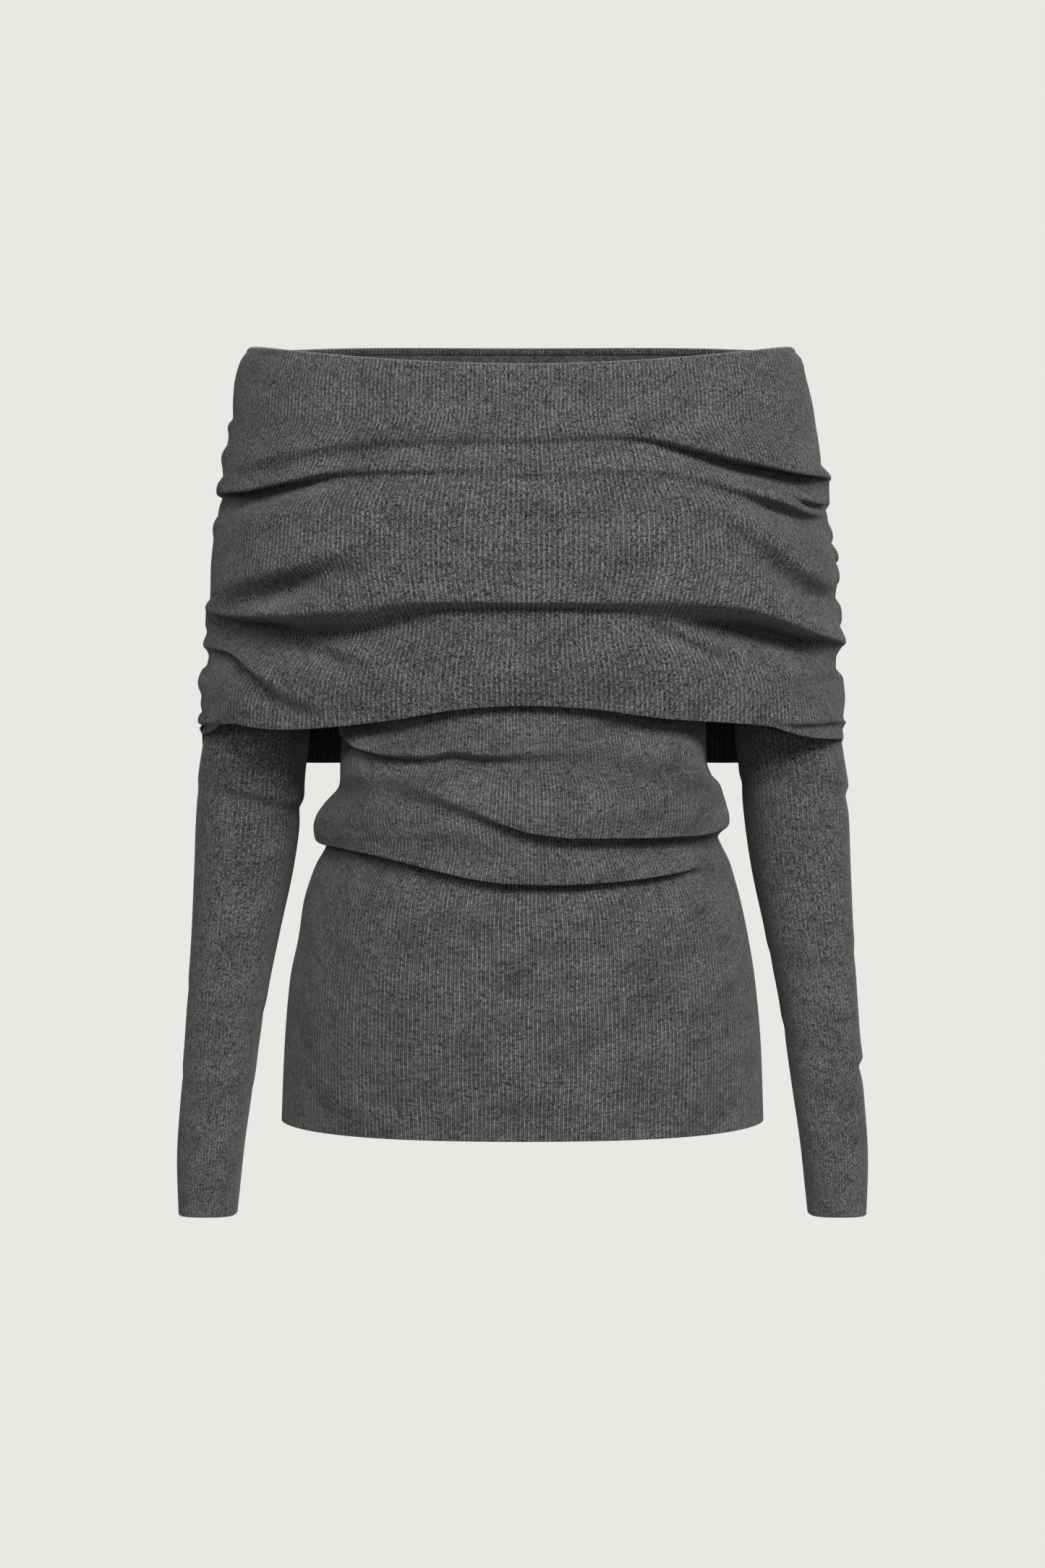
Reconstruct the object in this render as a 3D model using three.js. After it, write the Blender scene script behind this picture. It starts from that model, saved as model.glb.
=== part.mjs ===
// A long-sleeved off-shoulder top in a fine rib knit, worn and filled out, with a deep
// fold-over collar that is gathered at a seam down each upper arm.
// Sizes are millimetres, +Z is up, the front faces -Y and +X is on the viewer's right.
// The origin is the middle of the neckline, level with the shoulder tips that hold it up.
// "down" is the distance below that level, and "turn" is the angle round the figure:
// 0 at the front middle, +90 degrees at the viewer's right side and 180 at the back.

import * as THREE from "three";

// Driving sizes
const WALL = 1.5; // thickness of the knit
const SEAM = 0.3; // clearance between two pieces at a seam
const FRONT_DIP = 19; // how far the neckline drops at the front middle
const BACK_RISE = 8; // how far it rises at the back middle
const ROLL = 3.5; // outer radius of the collar's folded top edge
const COLLAR_LEG = 2; // the collar's turn-in below that fold, down to the neckline seam
const NECK_INSET = 2 * ROLL - WALL; // the inner layer's outer face, inside the collar's
const ARMPIT = 110; // where the armholes end below the shoulder level
const ARM_OPENS = 60; // how many degrees a sleeve opens each way above that, to the body
const HEM = 540.5; // length of the body's middle below the shoulder level
const HEM_LIFT = 3; // how much higher the hem is at the sides
const CUFF = 600.5; // the sleeve's end below the shoulder level

// Rows of the grids that the walls are made of
const COLLAR_FRONT_GRID = { columns: 25, roll: 4, wall: 42 };
const COLLAR_BACK_GRID = { columns: 18, roll: 4, wall: 34 };
const FRONT_GRID = { columns: 22, armhole: 6, chest: 3, folds: 24, skirt: 5 };
const BACK_GRID = { columns: 16, armhole: 6, chest: 3, folds: 12, skirt: 4 };
const SLEEVE_GRID = { columns: 14, armhole: 6, hidden: 3, shown: 14 };
const FOLDS_FROM = 245; // the body's folds lie between these two heights
const FOLDS_TO = 385;

const degrees = Math.PI / 180;
const lerp = (a, b, share) => a + (b - a) * share;
const clamp01 = (value) => Math.min(1, Math.max(0, value));
const smooth = (share) => share * share * (3 - 2 * share);
const bump = (distance, width) => Math.exp(-((distance / width) ** 2));

// Rows of numbers under named columns.
function table(columns, rows) {
  const names = columns.split(" ");
  return rows.map((row) => Object.fromEntries(names.map((name, i) => [name, row[i]])));
}

// A smooth curve through two columns of a table that never overshoots its points.
function curve(rows, along, column) {
  const x = rows.map((row) => row[along]);
  const y = rows.map((row) => row[column]);
  const slope = x.slice(1).map((end, i) => (y[i + 1] - y[i]) / (end - x[i]));
  const tangent = y.map((_, i) => {
    const before = slope[i - 1];
    const after = slope[i];
    if (before === undefined) return after;
    if (after === undefined) return before;
    return before * after <= 0 ? 0 : (2 * before * after) / (before + after);
  });
  return (at) => {
    if (at <= x[0]) return y[0];
    if (at >= x[x.length - 1]) return y[y.length - 1];
    const i = x.findIndex((end) => end > at) - 1;
    const span = x[i + 1] - x[i];
    const t = (at - x[i]) / span;
    const bend = t * t * (3 - 2 * t);
    return (
      lerp(y[i], y[i + 1], bend) +
      span * t * (1 - t) * ((1 - t) * tangent[i] - t * tangent[i + 1])
    );
  };
}

const curves = (rows, along, columns) =>
  Object.fromEntries(columns.split(" ").map((name) => [name, curve(rows, along, name)]));

// Half widths to the left and right, depths to the front and back, and how much fuller
// than an ellipse each level section is.
const SECTION_COLUMNS = "left right front back full";

const COLLAR = curves(
  table("down " + SECTION_COLUMNS, [
    [-8, 184, 184, 76, 84, 0.2],
    [0, 185, 185, 79, 86, 0.2],
    [4, 191, 191, 81, 87, 0.2],
    [9, 195, 195, 84, 88, 0.2],
    [20, 199.5, 197.5, 91, 91, 0.22],
    [40, 203.5, 202.5, 100, 95, 0.22],
    [60, 206.5, 206, 107, 98, 0.24],
    [80, 210.5, 211.5, 112, 101, 0.24],
    [100, 214, 214.5, 118, 103, 0.25],
    [128, 216.5, 216.5, 124, 105, 0.25],
    [150, 218.5, 220, 127, 105, 0.25],
    [180, 221, 222, 126, 104, 0.25],
    [208, 223.5, 225, 122, 103, 0.25],
    [232, 226, 224.5, 120, 103, 0.25],
    [262, 226, 225.5, 120, 105, 0.25],
    [295, 225, 225, 120, 108, 0.25],
  ]),
  "down",
  SECTION_COLUMNS,
);

const TORSO = curves(
  table("down " + SECTION_COLUMNS, [
    [110, 130, 130, 100, 91, 0.15],
    [150, 133, 133, 113, 93, 0.15],
    [200, 129, 129, 104, 88, 0.15],
    [250, 127, 129, 99, 81, 0.15],
    [280, 126.5, 130, 100, 78, 0.15],
    [301, 127.5, 135.5, 102, 78, 0.15],
    [313, 137, 140.5, 104, 79, 0.15],
    [325, 142, 142.5, 106, 80, 0.15],
    [335, 146, 145, 108, 81, 0.15],
    [345, 145, 140, 107, 83, 0.15],
    [367, 146.5, 147, 103, 89, 0.14],
    [386, 151.5, 152.5, 103.5, 94, 0.14],
    [404, 155.5, 155.5, 105, 99, 0.13],
    [440, 162, 162, 108, 108, 0.12],
    [489, 166, 166.3, 110, 115, 0.1],
    [540, 168, 168, 110, 113, 0.1],
  ]),
  "down",
  SECTION_COLUMNS,
);

// Where each arm's centre is, and its half width and half depth.
const ARM = curves(
  table("down across back width depth", [
    [110, 167, 8, 36.6, 46],
    [150, 173, 8, 36.5, 46],
    [200, 178, 7, 36, 45],
    [262, 183.5, 6, 34, 43],
    [278, 186.5, 6, 36.2, 43],
    [295, 189, 6, 37, 42.5],
    [330, 192, 8, 36.3, 41.5],
    [362, 195, 10, 34.6, 40],
    [410, 201, 8, 30.5, 37],
    [463, 207.5, 1, 26.8, 33],
    [510, 212, -6, 24.8, 30],
    [564, 217, -13, 22.7, 27],
    [605, 218.2, -17, 19.9, 25],
  ]),
  "down",
  "across back width depth",
);

// How far from the front middle the body's armhole edge is, from the neckline, 0, to
// the armpit, 1.
const ARMHOLE = curve(
  table("share angle", [
    [0, 42],
    [0.5, 66],
    [1, 89.9],
  ]),
  "share",
  "angle",
);

// The collar's lower edge.
const FRONT_EDGE = curve(
  table("across down", [
    [-1, 276],
    [-0.93, 265],
    [-0.7, 265],
    [-0.4, 260],
    [-0.15, 251],
    [0, 249],
    [0.15, 250.5],
    [0.41, 258],
    [0.72, 261],
    [0.94, 264],
    [1, 274],
  ]),
  "across",
  "down",
);
const BACK_EDGE = curve(
  table("across down", [
    [-1, 276],
    [-0.9, 286],
    [-0.6, 290],
    [0, 288],
    [0.6, 290],
    [0.9, 285],
    [1, 274],
  ]),
  "across",
  "down",
);

// A crease runs across a panel: each of its points has a place across, from -1 at the
// left side to +1 at the right, a height and a depth. "above" and "below" are how far its
// hollow reaches up and down, and "lip" is how far the cloth above swells out over it, as
// a share of the depth.
const crease = ({ above, below, lip }, rows) => ({
  above,
  below,
  lip,
  ...curves(table("across down depth", rows), "across", "down depth"),
});

const COLLAR_FRONT_CREASES = [
  crease({ above: 7, below: 11, lip: 0.5 }, [
    [-1, 93, 0],
    [-0.77, 85, 2.4],
    [-0.54, 76, 3],
    [-0.3, 73, 2.2],
    [0, 73, 1.6],
    [0.3, 70, 2.4],
    [0.41, 71, 4],
    [0.53, 77, 5.5],
    [0.69, 85, 7.5],
    [0.85, 90, 7],
    [1, 91, 0],
  ]),
  crease({ above: 6, below: 10, lip: 0.5 }, [
    [-1, 107, 0],
    [-0.85, 103, 7.5],
    [-0.69, 98, 6.5],
    [-0.53, 94, 4],
    [-0.23, 93, 1.6],
    [0.07, 97, 1.6],
    [0.37, 93, 1.8],
    [0.52, 96, 2],
    [0.65, 106, 2.2],
    [0.76, 117, 3.4],
    [0.89, 121, 4],
    [1, 121, 0],
  ]),
  crease({ above: 7, below: 9, lip: 0.7 }, [
    [-0.98, 180, 0],
    [-0.86, 174, 3],
    [-0.71, 165, 4.5],
    [-0.59, 157, 2.5],
    [-0.4, 143, 0],
  ]),
  crease({ above: 8, below: 10, lip: 0.7 }, [
    [0.5, 128, 0],
    [0.66, 142, 2.5],
    [0.78, 159, 4.5],
    [0.88, 168, 3.5],
    [1, 169, 0],
  ]),
  crease({ above: 10, below: 17, lip: 0.35 }, [
    [-1, 191, 0],
    [-0.9, 193, 9],
    [-0.75, 195, 9.5],
    [-0.57, 199, 7],
    [-0.37, 190, 6],
    [-0.19, 183, 5.5],
    [0.07, 183, 5],
    [0.33, 186, 5.5],
    [0.5, 187, 6.5],
    [0.62, 188, 8],
    [0.75, 194, 10],
    [0.9, 201, 9],
    [1, 204, 0],
  ]),
  crease({ above: 8, below: 8, lip: 0.3 }, [
    [-0.78, 194, 0],
    [-0.66, 204, 3.5],
    [-0.57, 213, 3],
    [-0.44, 221, 0],
  ]),
  crease({ above: 8, below: 8, lip: 0.3 }, [
    [0.3, 184, 0],
    [0.44, 193, 3],
    [0.55, 206, 3],
    [0.7, 217, 0],
  ]),
  crease({ above: 6, below: 8, lip: 0.5 }, [
    [-1, 214, 0],
    [-0.9, 221, 4],
    [-0.77, 238, 4],
    [-0.66, 252, 2],
    [-0.5, 260, 0],
  ]),
];

const COLLAR_BACK_CREASES = [
  crease({ above: 8, below: 12, lip: 0.4 }, [
    [-1, 88, 0],
    [-0.8, 76, 5],
    [-0.4, 62, 2],
    [0, 58, 1.5],
    [0.45, 64, 2.5],
    [0.8, 84, 6],
    [1, 94, 0],
  ]),
  crease({ above: 8, below: 12, lip: 0.4 }, [
    [-1, 150, 0],
    [-0.8, 139, 5.5],
    [-0.5, 124, 4],
    [-0.15, 116, 0],
  ]),
  crease({ above: 8, below: 12, lip: 0.4 }, [
    [0.1, 112, 0],
    [0.5, 122, 3.5],
    [0.8, 140, 5],
    [1, 154, 0],
  ]),
  crease({ above: 9, below: 15, lip: 0.35 }, [
    [-1, 200, 0],
    [-0.85, 196, 7],
    [-0.5, 184, 5.5],
    [0, 174, 4],
    [0.5, 182, 5],
    [0.85, 193, 7],
    [1, 196, 0],
  ]),
  crease({ above: 8, below: 12, lip: 0.4 }, [
    [-1, 246, 0],
    [-0.8, 244, 4],
    [-0.4, 232, 3],
    [0, 228, 0],
  ]),
  crease({ above: 8, below: 12, lip: 0.4 }, [
    [0.2, 226, 0],
    [0.55, 234, 3.5],
    [0.85, 243, 4],
    [1, 246, 0],
  ]),
];

const BODY_FRONT_CREASES = [
  crease({ above: 7, below: 8, lip: 0.5 }, [
    [-1, 262, 0],
    [-0.93, 274, 5],
    [-0.83, 280, 6.5],
    [-0.64, 285, 6],
    [-0.4, 286, 3.5],
    [-0.1, 285, 2],
    [0.25, 285, 1.5],
    [0.6, 287, 0],
  ]),
  crease({ above: 7, below: 9, lip: 0.5 }, [
    [-0.8, 300, 0],
    [-0.6, 309, 2],
    [-0.4, 318, 3.5],
    [-0.2, 326, 4.5],
    [0, 335, 6.5],
    [0.25, 339, 8],
    [0.56, 340, 8],
    [0.8, 340, 8.5],
    [1, 342, 7.5],
  ]),
  crease({ above: 7, below: 10, lip: 0.5 }, [
    [-1, 344, 6.5],
    [-0.85, 347, 8.5],
    [-0.57, 357, 8.5],
    [-0.34, 365, 8.5],
    [-0.12, 370, 8.5],
    [0.11, 372, 8.5],
    [0.33, 370, 8.5],
    [0.56, 366, 7.5],
    [0.75, 362, 6.5],
    [0.9, 360, 4],
    [1, 360, 0],
  ]),
];

const BODY_BACK_CREASES = [
  crease({ above: 8, below: 10, lip: 0.45 }, [
    [-1, 344, 6.5],
    [-0.7, 334, 6.5],
    [-0.3, 322, 5],
    [0.1, 318, 4],
    [0.6, 328, 4],
    [0.85, 338, 6],
    [1, 342, 7.5],
  ]),
  crease({ above: 8, below: 11, lip: 0.45 }, [
    [-0.75, 366, 0],
    [-0.4, 358, 4],
    [0, 356, 5.5],
    [0.45, 362, 4],
    [0.75, 370, 0],
  ]),
];

const SLEEVE_CREASES = [
  crease({ above: 6, below: 9, lip: 0.5 }, [
    [-1, 310, 2],
    [-0.4, 303, 1.5],
    [0.3, 300, 1],
    [1, 310, 2],
  ]),
  crease({ above: 7, below: 10, lip: 0.5 }, [
    [-1, 452, 2],
    [-0.5, 447, 2.2],
    [0, 455, 0.8],
    [0.5, 452, 1.5],
    [1, 452, 2],
  ]),
  crease({ above: 6, below: 9, lip: 0.5 }, [
    [-1, 486, 1.2],
    [-0.3, 492, 1.4],
    [0.4, 484, 0.8],
    [1, 486, 1.2],
  ]),
];

// Gathers pucker the collar at the seam down each upper arm. Each hollow between two
// gathers has its height, its depth and how far it reaches from the seam.
const GATHERS = {
  left: table("down depth above below reach slant", [
    [13, 1.5, 5, 4, 30, 0.1],
    [24, 2, 5, 5, 38, 0.1],
    [47, 2.4, 7, 6, 46, -0.1],
    [67, 3.2, 6, 6, 52, -0.15],
    [95, 4.2, 7, 5, 60, -0.1],
    [107, 2.6, 4.5, 5, 48, -0.15],
    [121, 2, 5, 5, 44, -0.2],
    [138, 2, 6, 7, 50, -0.2],
    [177, 3, 9, 5, 55, -0.1],
    [197, 3.2, 6, 6, 70, 0.05],
    [217, 4.5, 6, 6, 52, 0.25],
    [242, 3, 6, 5, 44, 0.2],
    [262, 3, 5, 5, 34, 0.05],
  ]),
  right: table("down depth above below reach slant", [
    [20, 1, 6, 5, 30, 0.1],
    [44, 0.8, 7, 6, 36, 0.1],
    [70, 1.2, 6, 5, 40, -0.1],
    [87, 6, 9, 4.5, 58, -0.12],
    [114, 3.6, 5, 5, 48, -0.2],
    [125, 2.4, 4.5, 5, 44, -0.2],
    [139, 3.6, 5, 5, 50, -0.2],
    [154, 4.8, 5, 6, 56, -0.25],
    [175, 3.4, 7, 6, 54, -0.2],
    [195, 3.4, 6, 6, 64, -0.1],
    [222, 4.8, 8, 7, 52, -0.05],
    [255, 3, 6, 5, 42, 0],
  ]),
};

// How deep a table of creases presses the cloth in at one place.
function creaseDepth(creases, across, down) {
  let depth = 0;
  for (const line of creases) {
    const below = down - line.down(across);
    const hollow = bump(below, below < 0 ? line.above : line.below);
    const swell = bump(below + 1.7 * line.above, 1.2 * line.above);
    depth += line.depth(across) * (hollow - line.lip * swell);
  }
  return depth;
}

// How deep the gathers press the collar in, at a distance from the seam on one side.
function gatherDepth(gathers, away, down) {
  let depth = 0;
  for (const hollow of gathers) {
    const below = down - hollow.down - hollow.slant * away;
    const width = below < 0 ? hollow.above : hollow.below;
    depth += hollow.depth * bump(below, width) * bump(away, hollow.reach);
  }
  return depth;
}

// A point on a level section: the half width runs smoothly from left to right, and the
// depth from back to front.
function ringPoint(section, down, turn) {
  const side = Math.sin(turn);
  const ahead = Math.cos(turn);
  const half = lerp(section.left(down), section.right(down), (1 + side) / 2);
  const middle = lerp(section.back(down), section.front(down), (1 + ahead) / 2);
  const depth = middle * (1 + section.full(down) * side * side);
  return new THREE.Vector3(half * side, -depth * ahead, -down);
}

// The level direction that points out of a ring at one turn.
function outOf(ring, turn) {
  const step = 0.01;
  const along = ring(turn + step).sub(ring(turn - step));
  return new THREE.Vector3(along.y, -along.x, 0).normalize();
}

const necklineDown = (turn) =>
  Math.cos(turn) > 0 ? FRONT_DIP * Math.cos(turn) ** 2 : -BACK_RISE * (1 - Math.sin(turn) ** 4);

const hemDown = (turn) => HEM - HEM_LIFT * Math.sin(turn) ** 4;

// The collar's outer face. Along it, -2 to -1 is the turn-in, -1 to 0 the rolled top edge
// and 0 to 1 the hanging cloth.
function collarPoint(turn, along, isFront) {
  const top = necklineDown(turn) + ROLL;
  const across = Math.sin(turn);
  let down = top;
  let inset = 0;
  if (along >= 0) {
    down = lerp(top, (isFront ? FRONT_EDGE : BACK_EDGE)(across), along);
  } else if (along >= -1) {
    const round = -along * Math.PI;
    down = top - ROLL * Math.sin(round);
    inset = ROLL * (1 - Math.cos(round));
  } else {
    down = top - (along + 1) * COLLAR_LEG;
    inset = 2 * ROLL;
  }
  const ring = (at) => ringPoint(COLLAR, Math.max(down, top), at);
  const point = ring(turn).setZ(-down);
  if (along > 0) {
    const seam = ring((Math.sign(across) * Math.PI) / 2);
    const away = Math.hypot(point.x - seam.x, point.y - seam.y);
    const creases = isFront ? COLLAR_FRONT_CREASES : COLLAR_BACK_CREASES;
    const fade = smooth(clamp01((down - top) / 10));
    inset +=
      fade *
      (creaseDepth(creases, across, down) +
        gatherDepth(across < 0 ? GATHERS.left : GATHERS.right, away, down));
  }
  return point.addScaledVector(outOf(ring, turn), -inset);
}

// The inner layer's outer face above the armpits widens from the torso to the collar.
function yokePoint(turn, share) {
  const below = COLLAR_LEG + SEAM;
  const down = lerp(necklineDown(turn) + ROLL + below, ARMPIT, share);
  const torso = ringPoint(TORSO, ARMPIT, turn);
  const ring = (at) => ringPoint(COLLAR, down - below, at);
  const neck = ring(turn).addScaledVector(outOf(ring, turn), -NECK_INSET);
  return torso.lerp(neck, smooth(1 - share)).setZ(-down);
}

// The body's outer face: 0 to 1 is from the neckline to the armpit, and 1 to 2 from there
// to the hem. "across" runs from one edge of the panel, -1, to the other, +1.
function bodyPoint(across, along, isFront) {
  const edge = along < 1 ? ARMHOLE(along) : 90;
  const reach = edge * degrees - SEAM / 2 / TORSO.back(ARMPIT);
  const turn = isFront ? across * reach : Math.PI + across * reach;
  if (along < 1) return yokePoint(turn, Math.max(along, 0));
  const down = lerp(ARMPIT, hemDown(turn), along - 1);
  const ring = (at) => ringPoint(TORSO, down, at);
  const creases = isFront ? BODY_FRONT_CREASES : BODY_BACK_CREASES;
  const inset = creaseDepth(creases, Math.sin(turn), down);
  return ring(turn).addScaledVector(outOf(ring, turn), -inset);
}

// A sleeve's outer face, on the right for side 1 and on the left for side -1. It goes
// from the underarm seam round the front, the outside and the back to the seam again.
// 0 to 1 is the armhole part, which opens to the body's armhole edges, and 1 to 2 the
// closed tube down to the cuff.
function sleevePoint(around, along, side) {
  const armAt = (at, down, inset, open = SEAM / 2 / ARM.width(down)) => {
    const angle = lerp(Math.PI + open, 3 * Math.PI - open, at);
    return new THREE.Vector3(
      side * (ARM.across(down) + (ARM.width(down) - inset) * Math.cos(angle)),
      ARM.back(down) + (ARM.depth(down) - inset) * Math.sin(angle),
      -down,
    );
  };
  if (along >= 1) {
    const down = lerp(ARMPIT, CUFF, along - 1);
    return armAt(around, down, creaseDepth(SLEEVE_CREASES, 2 * around - 1, down));
  }
  const share = Math.max(along, 0);
  const edge = ARMHOLE(share) * degrees + (1.6 * SEAM) / TORSO.back(ARMPIT);
  const open = SEAM / 2 / ARM.width(ARMPIT) + ARM_OPENS * degrees * (1 - share) ** 1.2;
  const yoke = (at) => yokePoint(side * at, share);
  const blend = (at) => {
    const shell = yoke(lerp(edge, Math.PI - edge, at));
    return armAt(at, ARMPIT, 0, open).setZ(shell.z).lerp(shell, smooth(1 - share));
  };
  const point = blend(around);
  const nearFront = smooth(clamp01(1 - around / 0.4));
  const nearBack = smooth(clamp01(1 - (1 - around) / 0.4));
  point.addScaledVector(yoke(edge).sub(blend(0)), nearFront);
  point.addScaledVector(yoke(Math.PI - edge).sub(blend(1)), nearBack);
  return point;
}

// Numbers from one to another in equal steps, with the last one left out.
const steps = (from, to, count) =>
  Array.from({ length: count }, (_, i) => lerp(from, to, i / count));

// A closed wall over a grid of outer points: each inner point lies one wall inside, along
// the surface's own normal, and rims close the four edges.
function wall(surface, acrossAt, alongAt) {
  const step = 1e-3;
  const outer = [];
  const inner = [];
  for (const across of acrossAt) {
    for (const along of alongAt) {
      const point = surface(across, along);
      const right = surface(across + step, along).sub(surface(across - step, along));
      const downward = surface(across, along + step).sub(surface(across, along - step));
      const normal = downward.cross(right).normalize();
      outer.push(point.x, point.y, point.z);
      const under = point.clone().addScaledVector(normal, -WALL);
      inner.push(under.x, under.y, under.z);
    }
  }
  const columns = acrossAt.length - 1;
  const rows = alongAt.length - 1;
  const half = outer.length / 3;
  const at = (i, j) => i * (rows + 1) + j;
  const faces = [];
  const quad = (a, b, c, d) => faces.push(a, b, c, a, c, d);
  for (let i = 0; i < columns; i++) {
    for (let j = 0; j < rows; j++) {
      const [a, b, c, d] = [at(i, j), at(i, j + 1), at(i + 1, j + 1), at(i + 1, j)];
      quad(a, b, c, d);
      quad(half + c, half + b, half + a, half + d);
    }
  }
  for (let i = 0; i < columns; i++) {
    quad(at(i, 0), at(i + 1, 0), half + at(i + 1, 0), half + at(i, 0));
    quad(at(i + 1, rows), at(i, rows), half + at(i, rows), half + at(i + 1, rows));
  }
  for (let j = 0; j < rows; j++) {
    quad(at(0, j + 1), at(0, j), half + at(0, j), half + at(0, j + 1));
    quad(at(columns, j), at(columns, j + 1), half + at(columns, j + 1), half + at(columns, j));
  }
  return new THREE.BufferGeometry()
    .setAttribute("position", new THREE.Float32BufferAttribute([...outer, ...inner], 3))
    .setIndex(faces);
}

function collarPanel(isFront) {
  const grid = isFront ? COLLAR_FRONT_GRID : COLLAR_BACK_GRID;
  const middle = isFront ? 0 : Math.PI;
  const reach = Math.PI / 2 - SEAM / 2 / 80;
  const acrossAt = [...steps(-reach, reach, grid.columns), reach].map((at) => middle + at);
  const alongAt = [-2, ...steps(-1, 0, grid.roll), ...steps(0, 1, grid.wall), 1];
  return wall((turn, along) => collarPoint(turn, along, isFront), acrossAt, alongAt);
}

function bodyPanel(isFront) {
  const grid = isFront ? FRONT_GRID : BACK_GRID;
  const share = (down) => 1 + (down - ARMPIT) / (HEM - ARMPIT);
  const acrossAt = [...steps(-1, 1, grid.columns), 1];
  const alongAt = [
    ...steps(0, 1, grid.armhole),
    ...steps(1, share(FOLDS_FROM), grid.chest),
    ...steps(share(FOLDS_FROM), share(FOLDS_TO), grid.folds),
    ...steps(share(FOLDS_TO), 2, grid.skirt),
    2,
  ];
  return wall((across, along) => bodyPoint(across, along, isFront), acrossAt, alongAt);
}

function sleeve(isRight) {
  const grid = SLEEVE_GRID;
  const shownFrom = 1 + (262 - ARMPIT) / (CUFF - ARMPIT);
  const acrossAt = [...steps(0, 1, grid.columns), 1];
  const alongAt = [
    ...steps(0, 1, grid.armhole),
    ...steps(1, shownFrom, grid.hidden),
    ...steps(shownFrom, 2, grid.shown),
    2,
  ];
  const surface = isRight
    ? (across, along) => sleevePoint(across, along, 1)
    : (across, along) => sleevePoint(1 - across, along, -1);
  return wall(surface, acrossAt, alongAt);
}

const knit = new THREE.MeshStandardMaterial({
  color: 0x575757,
  roughness: 0.95,
  metalness: 0,
});

function piece(name, geometry) {
  const mesh = new THREE.Mesh(geometry, knit.clone());
  mesh.name = name;
  return mesh;
}

const top = new THREE.Group();
top.add(
  piece("body_front", bodyPanel(true)),
  piece("body_back", bodyPanel(false)),
  piece("collar_front", collarPanel(true)),
  piece("collar_back", collarPanel(false)),
  piece("sleeve_right", sleeve(true)),
  piece("sleeve_left", sleeve(false)),
);

export default top;
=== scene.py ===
"""A long-sleeved off-shoulder top in a fine charcoal rib knit, worn and filled out.

Each cut piece of the top is a thin sheet that runs over a level ring of the figure. The
rings, creases and gathers come from short tables in millimetres, where "down" is the
distance below the shoulder level, and "across" runs from -1 at the viewer's left side to
+1 at the right. Angles round the figure start at the front middle.
"""

import math

import bpy
import numpy as np
from bpy.props import FloatProperty, FloatVectorProperty, PointerProperty
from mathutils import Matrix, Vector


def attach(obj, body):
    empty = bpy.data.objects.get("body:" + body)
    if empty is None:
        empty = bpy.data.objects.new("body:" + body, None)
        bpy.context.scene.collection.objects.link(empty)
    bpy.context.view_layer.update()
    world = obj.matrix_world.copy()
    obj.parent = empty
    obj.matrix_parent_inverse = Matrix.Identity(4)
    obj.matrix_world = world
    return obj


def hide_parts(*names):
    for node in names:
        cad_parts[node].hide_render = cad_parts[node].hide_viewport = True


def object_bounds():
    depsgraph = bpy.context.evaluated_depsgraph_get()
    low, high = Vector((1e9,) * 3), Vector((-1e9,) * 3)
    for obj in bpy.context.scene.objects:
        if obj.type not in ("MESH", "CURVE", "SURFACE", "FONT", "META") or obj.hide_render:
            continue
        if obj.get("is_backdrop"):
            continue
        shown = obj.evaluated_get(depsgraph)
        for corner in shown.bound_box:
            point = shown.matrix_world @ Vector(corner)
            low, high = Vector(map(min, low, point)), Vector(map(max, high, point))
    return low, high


bl_info = {
    "name": "Off-shoulder rib-knit top",
    "version": (1, 0, 0),
    "blender": (4, 5, 0),
    "location": "View3D > Sidebar > Knit top",
    "description": "Builds the top's knitted pieces and the studio round them",
    "category": "Object",
}

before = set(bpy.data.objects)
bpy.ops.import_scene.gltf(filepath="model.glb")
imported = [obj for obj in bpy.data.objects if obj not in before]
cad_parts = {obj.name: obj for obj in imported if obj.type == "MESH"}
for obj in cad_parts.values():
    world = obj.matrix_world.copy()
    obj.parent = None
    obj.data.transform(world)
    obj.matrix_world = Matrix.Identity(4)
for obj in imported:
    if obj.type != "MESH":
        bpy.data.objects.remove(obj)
CAD_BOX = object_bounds()
MM = 0.001

# Steps between the inner face's points, in columns and rows of the outer face's.
INNER_COLUMNS, INNER_ROWS = 3, 2
# Half widths in mm that turn a place across a panel into a distance.
HALF_COLLAR, HALF_BODY, HALF_SLEEVE = 215, 140, 60
# How far in mm below a panel's top its creases reach their full depth.
COLLAR_FADE, BODY_FADE = 10, 40
# Rows crowd at a crease by this much for each mm of its depth, up to a depth and over a
# reach in mm, and their places are found on this many fine ones.
CROWD, CROWD_DEPTH, CROWD_REACH, FINE_PLACES = 0.3, 8, 4, 600
# Depths in mm: the body's creased part, where its ribs and the collar's are counted, and
# where the sleeves come out of the collar.
WAIST_TOP, WAIST_END, BODY_RIBS, COLLAR_RIBS, SLEEVE_SHOWN = 245, 390, 440, 180, 262
# The collar's radius in mm at its side seams, which turns their gap into an angle.
SIDE_RADIUS = 80
# An arm's depth grows with the square and with the eighth power of the cosine.
ARM_FULL, ARM_SQUARE = 0.35, 0.4
# A sleeve's top: the share of its way round over which it joins the body's armhole edge,
# how many seam gaps lie between them, and the power by which its opening grows.
SLEEVE_JOIN, SLEEVE_GAPS, SLEEVE_POWER = 0.4, 1.6, 1.2

# Sizes of the yarn's patterns across and along the cloth, and the bump's height, in metres.
WANDER_CELL = 0.006, 0.004
FLECK_CELL = 0.0009, 0.0011
SPECK_CELL = 0.00078, 0.00095
CLOUD_CELL = 0.04, 0.018
STREAK_LENGTH = 0.03
STITCH_RELIEF = 0.00022
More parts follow.
